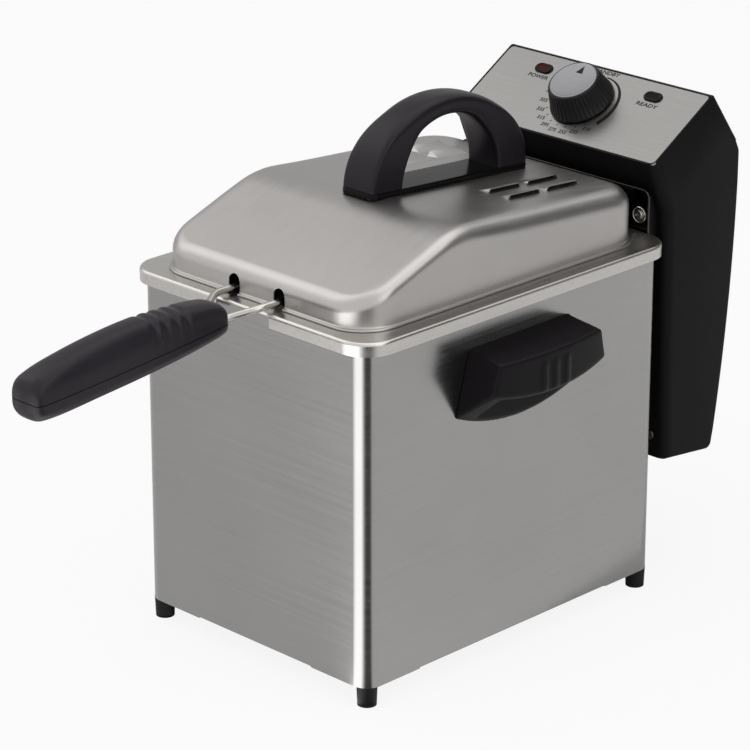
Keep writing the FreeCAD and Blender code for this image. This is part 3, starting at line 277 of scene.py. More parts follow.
def boxMesh(low, high):
    corners = [(x, y, z) for z in (low[2], high[2]) for x, y in
               ((low[0], low[1]), (high[0], low[1]), (high[0], high[1]), (low[0], high[1]))]
    faces = [(0, 3, 2, 1), (4, 5, 6, 7), (0, 1, 5, 4), (1, 2, 6, 5), (2, 3, 7, 6), (3, 0, 4, 7)]
    return corners, faces


def softBox(low, high, soft):  # box with all edges rounded
    points, faces = boxMesh(low, high)
    block = bmesh.new()
    corners = [block.verts.new(p) for p in points]
    for face in faces:
        block.faces.new([corners[i] for i in face])
    bmesh.ops.bevel(block, geom=list(block.edges), offset=soft, segments=3, profile=0.5, affect="EDGES")
    block.verts.index_update()
    shape = [tuple(v.co) for v in block.verts], [tuple(v.index for v in f.verts) for f in block.faces]
    block.free()
    return shape


def turnAngles(count):
    return [2 * pi * k / count for k in range(count)]


def circle(radius, count=24):
    return [(radius * cos(a), radius * sin(a)) for a in turnAngles(count)]


def roundedRun(halfX, low, high, r, steps=8):  # rounded rectangle about x = 0
    corners = ((halfX - r, high - r), (r - halfX, high - r), (r - halfX, low + r), (halfX - r, low + r))
    return [p for i, (x, y) in enumerate(corners) for p in arc(x, y, r, 90 * i, 90 * i + 90, steps)]


def insetRings(profile, halfX, low, high, r, toPoint, steps=8):  # profile rows are inset and height
    rings = []
    for inset, out in profile:
        run = roundedRun(halfX - inset, low + inset, high - inset, r - inset, steps)
        rings.append([toPoint(a, b, out) for a, b in run])
    return rings


def squareRound(angle, power):  # point on a superellipse
    c, s = cos(angle), sin(angle)
    return copysign(abs(c) ** (2 / power), c), copysign(abs(s) ** (2 / power), s)


def prism(outline, ends, toPoint):  # closed shape of an outline carried between two ends
    return closed([[toPoint(a, b, end) for a, b in outline] for end in ends])


def joined(shapes):  # several (points, faces) as one
    points, faces = [], []
    for morePoints, moreFaces in shapes:
        start = len(points)
        points += list(morePoints)
        faces += [tuple(start + i for i in face) for face in moreFaces]
    return points, faces


# Geometry Nodes: one shape on many points, and wire along edges

def newTree(name, **sockets):  # geometry and finish go in, geometry comes out
    tree = bpy.data.node_groups.new(name, "GeometryNodeTree")
    for key, kind in (("Geometry", "Geometry"), ("Finish", "Material"), *sockets.items()):
        tree.interface.new_socket(key.replace("_", " "), in_out="INPUT", socket_type="NodeSocket" + kind)
    tree.interface.new_socket("Geometry", in_out="OUTPUT", socket_type="NodeSocketGeometry")
    return tree, addNode(tree, "NodeGroupInput").outputs


def closeTree(tree, source, shape):
    solid = addNode(tree, "RealizeInstances", {"Geometry": shape})
    coat = addNode(tree, "SetMaterial", {"Geometry": solid, "Material": source["Finish"]})
    addNode(tree, "NodeGroupOutput", {"Geometry": coat})
    return tree


def scatterTree():
    tree, source = newTree("scatterShape", Shape="Object")
    shape = addNode(tree, "ObjectInfo", {"Object": source["Shape"]}).outputs["Geometry"]
    turn = addNode(tree, "InputNamedAttribute", data_type="FLOAT_VECTOR", Name="turn")
    copies = addNode(tree, "InstanceOnPoints", {
        "Points": source["Geometry"], "Instance": shape, "Rotation": turn.outputs["Attribute"]})
    return closeTree(tree, source, copies)


def wireTree():
    tree, source = newTree("wireAlongEdges", Wire_Radius="Float", Sides="Int")
    line = addNode(tree, "MeshToCurve", {"Mesh": source["Geometry"]})
    ring = addNode(tree, "CurvePrimitiveCircle", {
        "Resolution": source["Sides"], "Radius": source["Wire Radius"]})
    tube = addNode(tree, "CurveToMesh", {"Curve": line, "Profile Curve": ring}, Fill_Caps=True)
    return closeTree(tree, source, tube)


trees = {"scatter": scatterTree(), "wire": wireTree()}


def grow(obj, tree, **inputs):  # runs a tree on an object and keeps its mesh
    modifier = obj.modifiers.new("grow", "NODES")
    modifier.node_group = tree
    sockets = {item.name: item.identifier for item in tree.interface.items_tree if item.in_out == "INPUT"}
    for key, value in inputs.items():
        modifier[sockets[key.replace("_", " ")]] = value
    return settle(obj)


def scatter(name, shape, spots, finish):  # spots are (point, euler) pairs
    mesh = bpy.data.meshes.new(name)
    mesh.from_pydata([rowPoint(p) for p, _ in spots], [], [])
    turn = mesh.attributes.new("turn", "FLOAT_VECTOR", "POINT")
    for i, (_, euler) in enumerate(spots):
        turn.data[i].vector = euler
    obj = newObject(name, mesh)
    grow(obj, trees["scatter"], Shape=shape, Finish=finishes[finish])
    bpy.data.objects.remove(shape)
    return obj


def localShape(name, points, faces):  # a shape about its own origin, millimetres
    return shapeObject(name, ([(x, y - tankY, z) for x, y, z in points], faces))


def wireObject(name, lines, rings, radius, sides):  # wire along open lines and closed rings
    points, edges = [], []
    for run, gap in [(line, 1) for line in lines] + [(ring, 0) for ring in rings]:
        start, count = len(points), len(run)
        points += run
        edges += [(start + i, start + (i + 1) % count) for i in range(count - gap)]
    mesh = bpy.data.meshes.new(name)
    mesh.from_pydata([rowPoint(p) for p in points], edges, [])
    return grow(newObject(name, mesh), trees["wire"], Wire_Radius=radius / 1000, Sides=sides,
                Finish=finishes["wireSteel"])


# Lid: stamped sheet with a front facet, a rear slope and an edge round that grows to the rear

lid = {"half": 86.5, "front": -120.2, "rear": 119.5, "corner": 24.0, "base": 227.25, "flangeTop": 228.4,
       "flangeOut": 2.2, "brow": 243.0, "ridgeY": -42.0, "ridgeZ": 271.6, "tailZ": 260.3, "ridgeBlend": 13.0,
       "frontRound": 7.0, "rearRound": 11.0, "roundFrom": -75.0, "roundTo": 5.0, "sheet": 0.9, "columns": 44,
       "rowStep": 3.0, "turns": 8, "slotX": 18.7, "slotHalf": 4.6, "slotTop": 239.0, "slotTurns": 12,
       "hoodHalf": 59.5, "hoodTop": 251.5, "cutReach": 8.0, "cutUnder": 3.0}
# share of the flange's reach, height over its top
flangeProfile = ((0, 1.6), (0.05, 0.8), (0.16, 0.3), (0.38, 0), (0.75, 0), (0.92, -0.2), (1, -0.6))
louver = {"columns": (40.5, 56.5), "rows": (31.5, 65.0), "length": 24.0, "slit": 2.6, "hood": 8.0,
          "rise": 2.8, "ramp": 2.4, "lap": 0.6, "lift": 0.03, "sheet": 0.6, "steps": 6}
louverRamp = ((1, 0), (0.75, 0.12), (0.5, 0.5), (0.25, 0.88), (0, 1))  # share of the ramp, share of the rise


def lidRoof(y):
    rise = (lid["ridgeZ"] - lid["brow"]) / (lid["ridgeY"] - lid["front"])
    fall = (lid["tailZ"] - lid["ridgeZ"]) / (lid["rear"] - lid["ridgeY"])
    d, b = y - lid["ridgeY"], lid["ridgeBlend"]
    if d > b:
        return lid["ridgeZ"] + fall * d
    bend = 0.0 if d < -b else (rise - fall) * (d + b) ** 2 / (4 * b)
    return lid["ridgeZ"] + rise * d - bend


def lidRound(y):
    grown = smoothStep(lid["roundFrom"], lid["roundTo"], y)
    return blend(lid["frontRound"], lid["rearRound"], grown)


def snapped(values, marks):  # moves the nearest value onto each mark
    for mark in marks:
        values[min(range(len(values)), key=lambda i: abs(values[i] - mark))] = mark
    return values


def inSlit(x, y):
    return any(abs(abs(x) - column) < louver["slit"] / 2 and start < y < start + louver["length"]
               for column in louver["columns"] for start in louver["rows"])


def lidRows():  # (y, half width, outward normal of the right end)
    turns, corner = lid["turns"], lid["corner"]
    wide = lid["half"] - corner
    first, last = lid["front"] + corner, lid["rear"] - corner
    rows = []

    def addTurn(y, inner, angle):  # a row in a corner's turn
        c, s = cos(angle), sin(angle)
        rows.append((y + inner * s, wide + inner * c, (c, s)))

    for i in range(turns):
        addTurn(first, corner - lid["frontRound"], -pi / 2 * (1 - i / turns))
    steps = int((last - first) / lid["rowStep"])
    slitEnds = [start + end for start in louver["rows"] for end in (0, louver["length"])]
    for y in snapped([blend(first, last, i / steps) for i in range(steps + 1)], slitEnds):
        rows.append((y, lid["half"] - lidRound(y), (1.0, 0.0)))
    for i in range(1, turns + 1):
        addTurn(last, corner - lid["rearRound"], pi / 2 * i / turns)
    return rows


def lidTop(rows):  # the roof with its slits open
    columns, wideRow = lid["columns"], lid["columns"] + 1
    narrow = lid["half"] - lid["rearRound"]
    slitSides = [side * (column + edge * louver["slit"] / 2) / narrow
                 for side in (-1, 1) for column in louver["columns"] for edge in (-1, 1)]
    shares = snapped([2 * j / columns - 1 for j in range(wideRow)], slitSides)
    points = [(half * share, y, lidRoof(y)) for y, half, _ in rows for share in shares]
    faces = []
    for i in range(len(rows) - 1):
        for j in range(columns):
            a = i * wideRow + j
            middle = [(points[a][k] + points[a + 1 + wideRow][k]) / 2 for k in (0, 1)]
            if not inSlit(*middle):
                faces.append((a, a + 1, a + 1 + wideRow, a + wideRow))
    return points, faces


def lidSkirt(rows, points):  # edge round, wall and flange, from the edge of the roof
    turns, columns, wideRow, last = lid["turns"], lid["columns"], lid["columns"] + 1, len(rows) - 1
    edge = [(points[j], (0.0, -1.0)) for j in range(wideRow)]
    edge += [(points[i * wideRow + columns], rows[i][2]) for i in range(1, last + 1)]
    edge += [(points[last * wideRow + j], (0.0, 1.0)) for j in range(columns - 1, -1, -1)]
    edge += [(points[i * wideRow], (-rows[i][2][0], rows[i][2][1])) for i in range(last - 1, 0, -1)]
    rings = []
    for k in range(turns + 1):
        angle = pi / 2 * k / turns
        ring = []
        for (x, y, _), (nx, ny) in edge:
            r = lidRound(y)
            out = r * sin(angle)
            ring.append((x + nx * out, y + ny * out, lidRoof(y + ny * out) - r * (1 - cos(angle))))
        rings.append(ring)
    wall = rings[-1]
    for share, up in flangeProfile + ((1, lid["base"] - lid["flangeTop"]),):
        reach, z = share * lid["flangeOut"], lid["flangeTop"] + up
        rings.append([(x + nx * reach, y + ny * reach, z) for (x, y, _), (_, (nx, ny)) in zip(wall, edge)])
    return stitch(rings)


def lidCutters():  # two wire slots in front, the element hood's notch behind
    reach, low = lid["cutReach"], lid["base"] - lid["cutUnder"]
    half, crownZ = lid["slotHalf"], lid["slotTop"] - lid["slotHalf"]
    ends = (lid["front"] - reach, lid["front"] + reach)
    cutters = []
    for x in (-lid["slotX"], lid["slotX"]):
        crown = arc(x, crownZ, half, 0, 180, lid["slotTurns"])
        cutters.append(prism([(x - half, low), (x + half, low)] + crown, ends, lambda a, z, y: (a, y, z)))
    cutters.append(boxMesh((-lid["hoodHalf"], lid["rear"] - reach, low),
                           (lid["hoodHalf"], lid["rear"] + reach, lid["hoodTop"])))
    return joined(cutters)


def makeLid():
    rows = lidRows()
    roof = lidTop(rows)
    obj = shapeObject("lid_cover", joined([roof, lidSkirt(rows, roof[0])]), facing=(0, 0, 1))
    modify(obj, "SOLIDIFY", thickness=lid["sheet"] / 1000, use_even_offset=True)
    cutAway(obj, shapeObject("lid_cutter", lidCutters()))
    place(obj, "lidSteel", "lid", "brushed_steel", ["lid_shell"], sharp=40)


def makeLouvers():
    # hoods raised beside each slit, open on the outer side
    hood, steps = louver["hood"], louver["steps"]
    ends = [(-louver["length"] / 2 - reach * louver["ramp"], share) for reach, share in louverRamp]
    stations = ends + [(-y, share) for y, share in reversed(ends)]
    across = [(k / steps, -hood + (hood + louver["lap"]) * k / steps) for k in range(steps + 1)]
    rings = [[(x, y, louver["lift"] + louver["rise"] * share * climb) for climb, x in across]
             for y, share in stations]
    shape = localShape("louver_hood", *stitch(rings, closedAround=False))
    modify(shape, "SOLIDIFY", thickness=louver["sheet"] / 1000)
    spots = []
    for side in (-1, 1):
        for column in louver["columns"]:
            for start in louver["rows"]:
                y = start + louver["length"] / 2
                fall = atan2(lidRoof(y + 1) - lidRoof(y - 1), 2)
                euler = (fall, 0, 0) if side > 0 else (-fall, 0, pi)
                spots.append(((side * column, y, lidRoof(y)), euler))
    place(scatter("lid_louvers", shape, spots, "lidSteel"), "lidSteel", "lid", "brushed_steel")


makeLid()
makeLouvers()
print("lid done")


# Lid handle: an arch whose legs are square below and round off towards the top

arch = {"y": 27.5, "half": 66.5, "top": 54.0, "gapHalf": 41.0, "gapTop": 41.5, "width": 26.0, "base": 3.5,
        "baseOver": 1.0, "baseRound": 5.0, "baseSteps": 6, "steps": 64, "around": 40, "legPower": 14.0,
        "crownPower": 3.2, "crownFrom": 0.25, "crownTo": 0.85, "crownSlim": 0.04}
baseProfile = ((0.0, 0.0), (0.0, 2.6), (0.25, 3.15), (0.8, 3.45), (2.0, 3.5))  # inset, height


def onSlope(x, along, up):  # frame of the lid's rear slope to tank millimetres
    fall = atan2(lid["tailZ"] - lid["ridgeZ"], lid["rear"] - lid["ridgeY"])
    slopeZ = lid["ridgeZ"] + tan(fall) * (arch["y"] - lid["ridgeY"])
    return tilted(arch["y"], slopeZ, fall, x, along, up)


def makeLidHandle():
    rings = []
    for i in range(arch["steps"] + 1):
        turn = pi * i / arch["steps"]
        c, s = cos(turn), sin(turn)
        outer = (-arch["half"] * c, blend(arch["base"], arch["top"], s))
        gap = (-arch["gapHalf"] * c, blend(arch["base"], arch["gapTop"], s))
        middle = ((outer[0] + gap[0]) / 2, (outer[1] + gap[1]) / 2)
        reach = ((outer[0] - gap[0]) / 2, (outer[1] - gap[1]) / 2)
        crown = smoothStep(arch["crownFrom"], arch["crownTo"], s)
        power = blend(arch["legPower"], arch["crownPower"], crown)
        half = arch["width"] / 2 * (1 - arch["crownSlim"] * crown)
        ring = []
        for k in range(arch["around"]):
            u, v = squareRound(2 * pi * (k + 0.5) / arch["around"], power)
            ring.append(onSlope(half * u, middle[0] + reach[0] * v, middle[1] + reach[1] * v))
        rings.append(ring)
    # the arch's finish is painted lighter than the side handles' to stand in for the light falling on it
    placeShape("lid_handle_arch", closed(rings), "archPlastic", "lid", "black_plastic", ["lid_handle"],
               sharp=50)


def makeLidHandleBase():
    halfX, halfY, r = arch["width"] / 2 + arch["baseOver"], arch["half"] + arch["baseOver"], arch["baseRound"]
    rings = insetRings(baseProfile, halfX, -halfY, halfY, r, onSlope, arch["baseSteps"])
    placeShape("lid_handle_foot", closed(rings), "glossPlastic", "lid", "gloss_black_plastic",
               ["lid_handle_base"])


makeLidHandle()
makeLidHandleBase()
print("lid handle done")


# Side handles: moulded cups, softened from their solids

cup = {"voxel": 0.7, "smooth": 26, "factor": 0.5, "seatY": 45.0, "seatZ": 184.0, "seatReach": 2.3,
       "wall": 95.6, "free": 98.5}


def makeSideHandle(node, name):
    mesh = cadNodes[node].data.copy()
    tidy = bmesh.new()
    tidy.from_mesh(mesh)
    bmesh.ops.remove_doubles(tidy, verts=tidy.verts, dist=1e-6)
    seats = [v for v in tidy.verts if hypot(  # the hidden screw seats are closed
        abs(v.co.y * 1000 - tankY) - cup["seatY"], v.co.z * 1000 - cup["seatZ"]) < cup["seatReach"]]
    bmesh.ops.delete(tidy, geom=seats, context="VERTS")
    bmesh.ops.holes_fill(tidy, edges=tidy.edges, sides=0)
    bmesh.ops.recalc_face_normals(tidy, faces=tidy.faces)
    tidy.to_mesh(mesh)
    tidy.free()
    obj = modify(newObject(name, mesh), "REMESH", mode="VOXEL", voxel_size=cup["voxel"] / 1000)
    loose = obj.vertex_groups.new(name="loose")  # the side on the wall stays where it is
    for vertex in obj.data.vertices:
        loose.add([vertex.index], smoothStep(cup["wall"], cup["free"], abs(vertex.co.x) * 1000), "REPLACE")
    modify(obj, "SMOOTH", factor=cup["factor"], iterations=cup["smooth"], vertex_group="loose")
    place(obj, "handlePlastic", "housing", "black_plastic", [node], sharp=60)


for side in ("right", "left"):
    makeSideHandle("side_handle_" + side, "side_cup_" + side)
print("side handles done")


# Basket handle grip: two moulded halves with a scooped side and finger notches on the top

grip = {"front": -294.0, "rear": -152.0, "partLow": 212.6, "partClimb": 11.9, "partBend": 0.2, "seam": 0.25,
        "steps": 150, "around": 22, "squareness": 3.0, "notchFrom": 0.585, "notchPitch": 0.055, "notches": 4,
        "notchDepth": 0.75, "scoop": 0.08, "scoopRise": (0.06, 0.3), "scoopFall": (0.72, 0.5)}
# share of the length from the front end, half width, rise over and drop under the part line
gripStations = [(0.0, 10.0, 8.4, 7.2), (0.012, 11.9, 11.4, 9.8), (0.04, 12.8, 13.9, 11.4),
                (0.14, 13.2, 17.3, 12.2), (0.32, 13.3, 20.3, 11.7), (0.55, 13.2, 21.0, 11.2),
                (0.78, 12.9, 17.8, 10.0), (0.93, 12.5, 13.8, 8.2), (0.985, 11.8, 10.6, 7.0),
                (1.0, 10.4, 8.6, 6.0)]


def topDetail(share, x, z, u, v):  # u and v tell how far to the side and to the top
    notch = (share - grip["notchFrom"]) / grip["notchPitch"]
    if 0 < notch < grip["notches"]:
        dip = grip["notchDepth"] * sin(pi * (notch % 1.0)) ** 2
        x -= copysign(dip * smoothStep(0.15, 0.6, v), x) * min(abs(u) * 2, 1)
        z -= dip * smoothStep(0.5, 0.95, v)
    scoop = grip["scoop"] * smoothStep(*grip["scoopRise"], share) * smoothStep(*grip["scoopFall"], share)
    return x * (1 - scoop * smoothStep(0.35, 0.75, v)), z


def gripHalf(name, sign, node):
    rings = []
    for i in range(grip["steps"] + 1):
        share = i / grip["steps"]
        half, rise, drop = between(gripStations, share)
        y = blend(grip["front"], grip["rear"], share)
        climb = share * (1 - grip["partBend"] + grip["partBend"] * share)
        line = grip["partLow"] + grip["partClimb"] * climb
        ring = []
        for k in range(grip["around"] + 1):
            u, v = squareRound(pi * k / grip["around"], grip["squareness"])
            x, z = half * u, (rise if sign > 0 else drop) * v
            if sign > 0:
                x, z = topDetail(share, x, z, u, v)
            ring.append((x, y, line + sign * (grip["seam"] + max(z, 0))))
        rings.append(ring)
    placeShape(name, closed(rings), "gripPlastic", "basket_handle", "black_plastic", [node], sharp=40)


gripHalf("grip_top", 1, "grip_upper")
gripHalf("grip_bottom", -1, "grip_lower")
print("grip done")


# Knob: fluted skirt, spun cap with a pointer

panel = {"y": 129.5, "z": 270.4, "tilt": 31.15}
knob = {"up": 34.0, "flutes": 44, "fluteSteps": 6, "fluteDepth": 0.55, "capSteps": 72, "pointer": 4.2,
        "pointerTip": 12.6, "pointerInk": (17.85, 17.98)}
# radius, height over the panel, share of the flutes' depth
skirtProfile = ((3.0, 8.8, 0), (15.4, 8.8, 0), (15.8, 0.8, 0), (20.3, 0.8, 0), (20.9, 1.2, 0), (20.8, 2.0, 0),
                (20.4, 2.8, 1), (18.6, 10.0, 1), (17.1, 16.2, 1), (16.7, 17.0, 0.4), (16.2, 17.5, 0),
                (15.5, 17.5, 0), (15.4, 16.3, 0), (3.0, 16.3, 0))
capProfile = ((15.35, 16.4), (15.35, 17.7), (15.0, 18.05), (14.5, 18.1), (13.8, 17.95), (13.3, 17.9),
              (0.01, 17.9))


def onPanel(x, up, out):  # frame of the slanted panel to tank millimetres
    return tilted(panel["y"], panel["z"], radians(panel["tilt"]), x, up, out)


def onDial(radius, angle, out):  # about the knob's axis, from the top of the panel
    return onPanel(radius * sin(angle), knob["up"] + radius * cos(angle), out)


def makeKnob():
    rings = []
    for radius, out, share in skirtProfile:
        ring = []
        for angle in turnAngles(knob["flutes"] * knob["fluteSteps"]):
            flute = knob["fluteDepth"] * share * (0.5 - 0.5 * cos(knob["flutes"] * angle))
            ring.append(onDial(radius - flute, angle, out))
        rings.append(ring)
    placeShape("knob_body", stitch(rings + [rings[0]]), "knobPlastic", "knob", "black_plastic",
               ["knob_skirt"], sharp=45)
    angles = turnAngles(knob["capSteps"])
    rings = [[onDial(radius, angle, out) for angle in angles] for radius, out in capProfile]
    placeShape("knob_face", stitch(rings, capStart=True), "capSteel", "knob", "knob_cap_aluminium",
               ["knob_cap"])
    half, tip, foot = 0.62 * knob["pointer"], knob["pointerTip"], knob["pointerTip"] - 1.5 * knob["pointer"]
    pointer = prism([(0, tip), (-half, foot), (half, foot)], knob["pointerInk"],
                    lambda x, up, out: onPanel(x, knob["up"] + up, out))
    placeShape("knob_pointer", pointer, "printInk", "knob", "black_plastic")


makeKnob()
print("knob done")


# Control head: one moulded case with rounded edges, open at the inlet, the button and the shaft

case = {"half": 83.6, "plateHalf": 82.1, "plateLow": 1.5, "plateHigh": 62.3, "plateCorner": 3.0,
        "plateSeat": (-1.35, 4.0), "depths": (0, 0.15, 0.4, 0.8, 1.3, 2.0, 3.0, 4.2, 5.5, 7.0), "arcSteps": 6,
        "rearCorner": 1, "rearBow": 1150.0, "inletHalf": 20.0, "inletLow": 94.0, "inletHigh": 114.0,
        "resetX": -55.0, "resetZ": 104.0, "resetHole": 3.85, "rearHoles": (184, 225), "shaftHole": 5.0,
        "shaftReach": (-14, 3)}
# neck behind the bracket, tongue in the rear guide, stem between tongue and case: low, high, edge round
caseArms = (((-75, 133.4, 208), (75, 147.5, 249), 1.5), ((-33, 133, 95), (33, 138.5, 203), 1.2),
            ((-18, 137, 95.5), (18, 149.6, 202.5), 1.2))
# outline from the side: y, z, round of this corner, round of the face that follows it
caseOutline = [(148.6, 73.7, 0, 3.0), (195.0, 68.4, 5.0, 3.0), (212.5, 243.0, 0, 3.0),
               (212.5, 263.0, 8.0, 3.0), (209.0, 270.0, 8.0, 2.0), (184.72, 304.13, 2.5, 1.0),
               (129.35, 270.66, 0, 7.0), (144.0, 236.3, 14.0, 7.0)]


def caseSide():
    # corners become arcs; each short face keeps the round of its neighbours
    corners = []
    for i, (y, z, cornerRound, faceRound) in enumerate(caseOutline):
        here = Vector((y, z))
        before, after = Vector(caseOutline[i - 1][:2]), Vector(caseOutline[(i + 1) % len(caseOutline)][:2])
        lastRound = caseOutline[i - 1][3]
        if not cornerRound:
            corners.append((here, faceRound))
        else:
            back, ahead = (before - here).normalized(), (after - here).normalized()
            half = back.angle(ahead) / 2
            reach = cornerRound / tan(half)
            centre = here + (back + ahead).normalized() * cornerRound / sin(half)
            first, last = here + back * reach - centre, here + ahead * reach - centre
            steps = case["arcSteps"]
            for k in range(steps + 1):
                spoke = first.lerp(last, k / steps).normalized() * cornerRound
                mix = min(k + 1, steps) / steps
                corners.append((centre + spoke, blend(lastRound, faceRound, mix)))
        if i == case["rearCorner"]:  # the rear wall bows out
            chord = after - here
            outward = Vector((chord.y, -chord.x)).normalized()
            sag = chord.length ** 2 / 8 / case["rearBow"]
            corners += [(here + chord * s + outward * sag * 4 * s * (1 - s), faceRound)
                        for s in [0.08 + 0.84 * k / 10 for k in range(11)]]
    return corners


def insetSide(corners, depth):
    # every face moved in by its own round at this depth from the side
    moved = []
    for i, (point, _) in enumerate(corners):
        lines = []
        for (a, r), (b, _) in ((corners[i - 1], corners[i]), (corners[i], corners[(i + 1) % len(corners)])):
            run = (b - a).normalized()
            inset = r - sqrt(max(r * r - (r - depth) ** 2, 0)) if depth < r else 0.0
            lines.append((Vector((-run.y, run.x)), inset))
        (n0, d0), (n1, d1) = lines
        det = n0.x * n1.y - n0.y * n1.x
        if abs(det) < 0.02:
            moved.append(point + (n0 + n1).normalized() * (d0 + d1) / 2)
        else:
            moved.append(point + Vector((d0 * n1.y - d1 * n0.y, d1 * n0.x - d0 * n1.x)) / det)
    return moved


def makeHeadCase():
    corners = caseSide()
    sections = [(case["half"] - d, d) for d in case["depths"]]
    rings = []
    for x, depth in [(-x, d) for x, d in sections] + sections[::-1]:
        rings.append([(x, p.x, p.y) for p in insetSide(corners, depth)])
    obj = shapeObject("head_case", closed(rings))
    plate = roundedRun(case["plateHalf"], case["plateLow"], case["plateHigh"], case["plateCorner"])
    half, (near, far) = case["inletHalf"], case["rearHoles"]
    tools = [prism(plate, case["plateSeat"], onPanel),
             boxMesh((-half, near, case["inletLow"]), (half, far, case["inletHigh"])),
             prism(circle(case["resetHole"]), case["rearHoles"],
                   lambda a, b, y: (a + case["resetX"], y, b + case["resetZ"])),
             prism(circle(case["shaftHole"]), case["shaftReach"],
                   lambda a, b, out: onPanel(a, knob["up"] + b, out))]
    for tool in tools:
        cutAway(obj, shapeObject("case_tool", tool))
    both = bmesh.new()
    both.from_mesh(obj.data)
    both.from_mesh(meshFrom("case_arms", *joined([softBox(*arm) for arm in caseArms])))
    both.to_mesh(obj.data)
    both.free()
    place(obj, "headPlastic", "head", "head_plastic", ["head_shell", "head_front_plate"], sharp=30)


makeHeadCase()
print("head case done")


# Bracket: pressed plate with a rolled rim

bracket = {"half": 78.3, "low": 208.6, "high": 253.0, "corner": 5.0, "front": 132.2}
bracketProfile = ((0.0, 1.2), (0.0, 0.35), (0.15, 0.1), (0.5, 0.0), (0.9, 0.08), (1.15, 0.35), (1.3, 0.65),
                  (1.7, 0.8), (2.4, 0.85))  # inset, set back


def makeBracket():
    rings = insetRings(bracketProfile, bracket["half"], bracket["low"], bracket["high"], bracket["corner"],
                       lambda x, z, back: (x, bracket["front"] + back, z))
    # the bracket's dark finish is a painted reflection of the black head case
    placeShape("bracket_plate", closed(rings), "mirrorSteel", "head", "bright_steel", ["element_bracket"],
               sharp=60)


makeBracket()
print("bracket done")


# Lamp bezels: a dark frame round each lens

lampFrame = {"x": 45.2, "up": 50.7, "length": 13.6, "width": 7.6, "lensLength": 9.2, "lensWidth": 3.7}
bezelProfile = ((0.0, 0.02), (0.0, 0.7), (0.1, 1.0), (0.4, 1.15), (0.8, 1.1), (1.0, 0.9),
                (1.0, 0.02))  # share of the way in to the lens, height over the panel


def makeBezels():
    shapes = []
    for side in (-1, 1):
        rings = []
        for share, out in bezelProfile:
            length = blend(lampFrame["length"], lampFrame["lensLength"], share)
            width = blend(lampFrame["width"], lampFrame["lensWidth"], share)
            run = roundedRun(length / 2, -width / 2, width / 2, width / 2 - 0.01)
            rings.append([onPanel(side * lampFrame["x"] + x, lampFrame["up"] + up, out) for x, up in run])
        shapes.append(stitch(rings + [rings[0]]))
    placeShape("lamp_bezels", joined(shapes), "glossPlastic", "head", "gloss_black_plastic", sharp=40)


makeBezels()
print("bezels done")


# Basket: woven wire body on its rim

basket = {"low": 60.6, "high": 205.0, "half": 74.2, "front": -99.2, "rear": 94.2, "taper": 5.0, "pitch": 9.0,
          "wire": 0.6, "sides": 6, "corner": 15.0, "cornerSteps": 5, "bend": 4.0}


def basketSize(z):  # half width, front and rear at this height
    slack = basket["taper"] * (basket["high"] - z) / (basket["high"] - basket["low"])
    return basket["half"] - slack, basket["front"] + slack, basket["rear"] - slack


def strand(low, lowEnd, high, highEnd, lift):  # down one wall, across the floor and up the other wall
    bottom, top, bend = basket["low"], basket["high"], basket["bend"]
    return ((high, top), (low, bottom + bend), (low + bend, bottom + lift), (lowEnd - bend, bottom + lift),
            (lowEnd, bottom + bend), (highEnd, top))


def makeBasket():
    low, high, pitch, corner = [basket[key] for key in ("low", "high", "pitch", "corner")]
    lift = 2 * basket["wire"]
    (h0, f0, r0), (h1, f1, r1) = basketSize(low), basketSize(high)
    count = int((h0 - corner) / pitch)
    lines = [[(i * pitch, y, z) for y, z in strand(f0, r0, f1, r1, 0)] for i in range(-count, count + 1)]
    count = int(((r0 - f0) / 2 - corner) / pitch)
    for y in [(f0 + r0) / 2 + i * pitch for i in range(-count, count + 1)]:
        lines.append([(x, y, z) for x, z in strand(-h0, h0, -h1, h1, lift)])
    rings = []
    z = low + pitch / 2
    while z < high:
        half, front, rear = basketSize(z)
        run = roundedRun(half - lift, front + lift, rear - lift, corner, basket["cornerSteps"])
        rings.append([(x, y, z) for x, y in run])
        z += pitch
    obj = wireObject("basket_weave", lines, rings, basket["wire"], basket["sides"])
    place(obj, "wireSteel", "basket", "basket_wire", ["basket_mesh"], sharp=70)


makeBasket()
print("basket done")


# Handle wires: two bent rods from the basket's sockets into the grip

rods = {"radius": 2.3, "sides": 14, "gap": 18.7, "spread": 8.0, "level": 231.0, "end": -90.0, "bend": -132.0,
        "neck": -157.5, "neckLevel": 226.5, "tip": -190.0, "tipLevel": 222.8, "steps": 14}


def makeRods():
    r = rods
    lines = []
    for side in (-1, 1):
        line = [(side * r["gap"], r["end"], r["level"])]
        for k in range(r["steps"] + 1):  # drawn in towards the grip in an even curve
            share = k / r["steps"]
            mix = smoothStep(0, 1, share)
            line.append((side * blend(r["gap"], r["spread"], mix), blend(r["bend"], r["neck"], share),
                         blend(r["level"], r["neckLevel"], mix)))
        lines.append(line + [(side * r["spread"], r["tip"], r["tipLevel"])])
    obj = wireObject("handle_rods", lines, [], r["radius"], r["sides"])
    place(obj, "wireSteel", "basket_handle", "bright_steel", ["handle_wires"], sharp=60)


makeRods()
print("rods done")


# Screws: pan heads with a cross recess, one shape on many points

screwHead = {"radius": 3.0, "ring": 5.2, "skirt": 3.6, "top": 1.6, "around": 32, "cross": 2.0,
             "crossWidth": 0.75, "crossDepth": 0.9}
bracketScrews = {"x": 70.5, "y": 133.0, "z": 236.0, "lean": 0.0}
plateScrews = {"x": 71.6, "y": 148.25, "z": 88.0, "lean": atan2(4.6, 162.6)}  # as the front plate


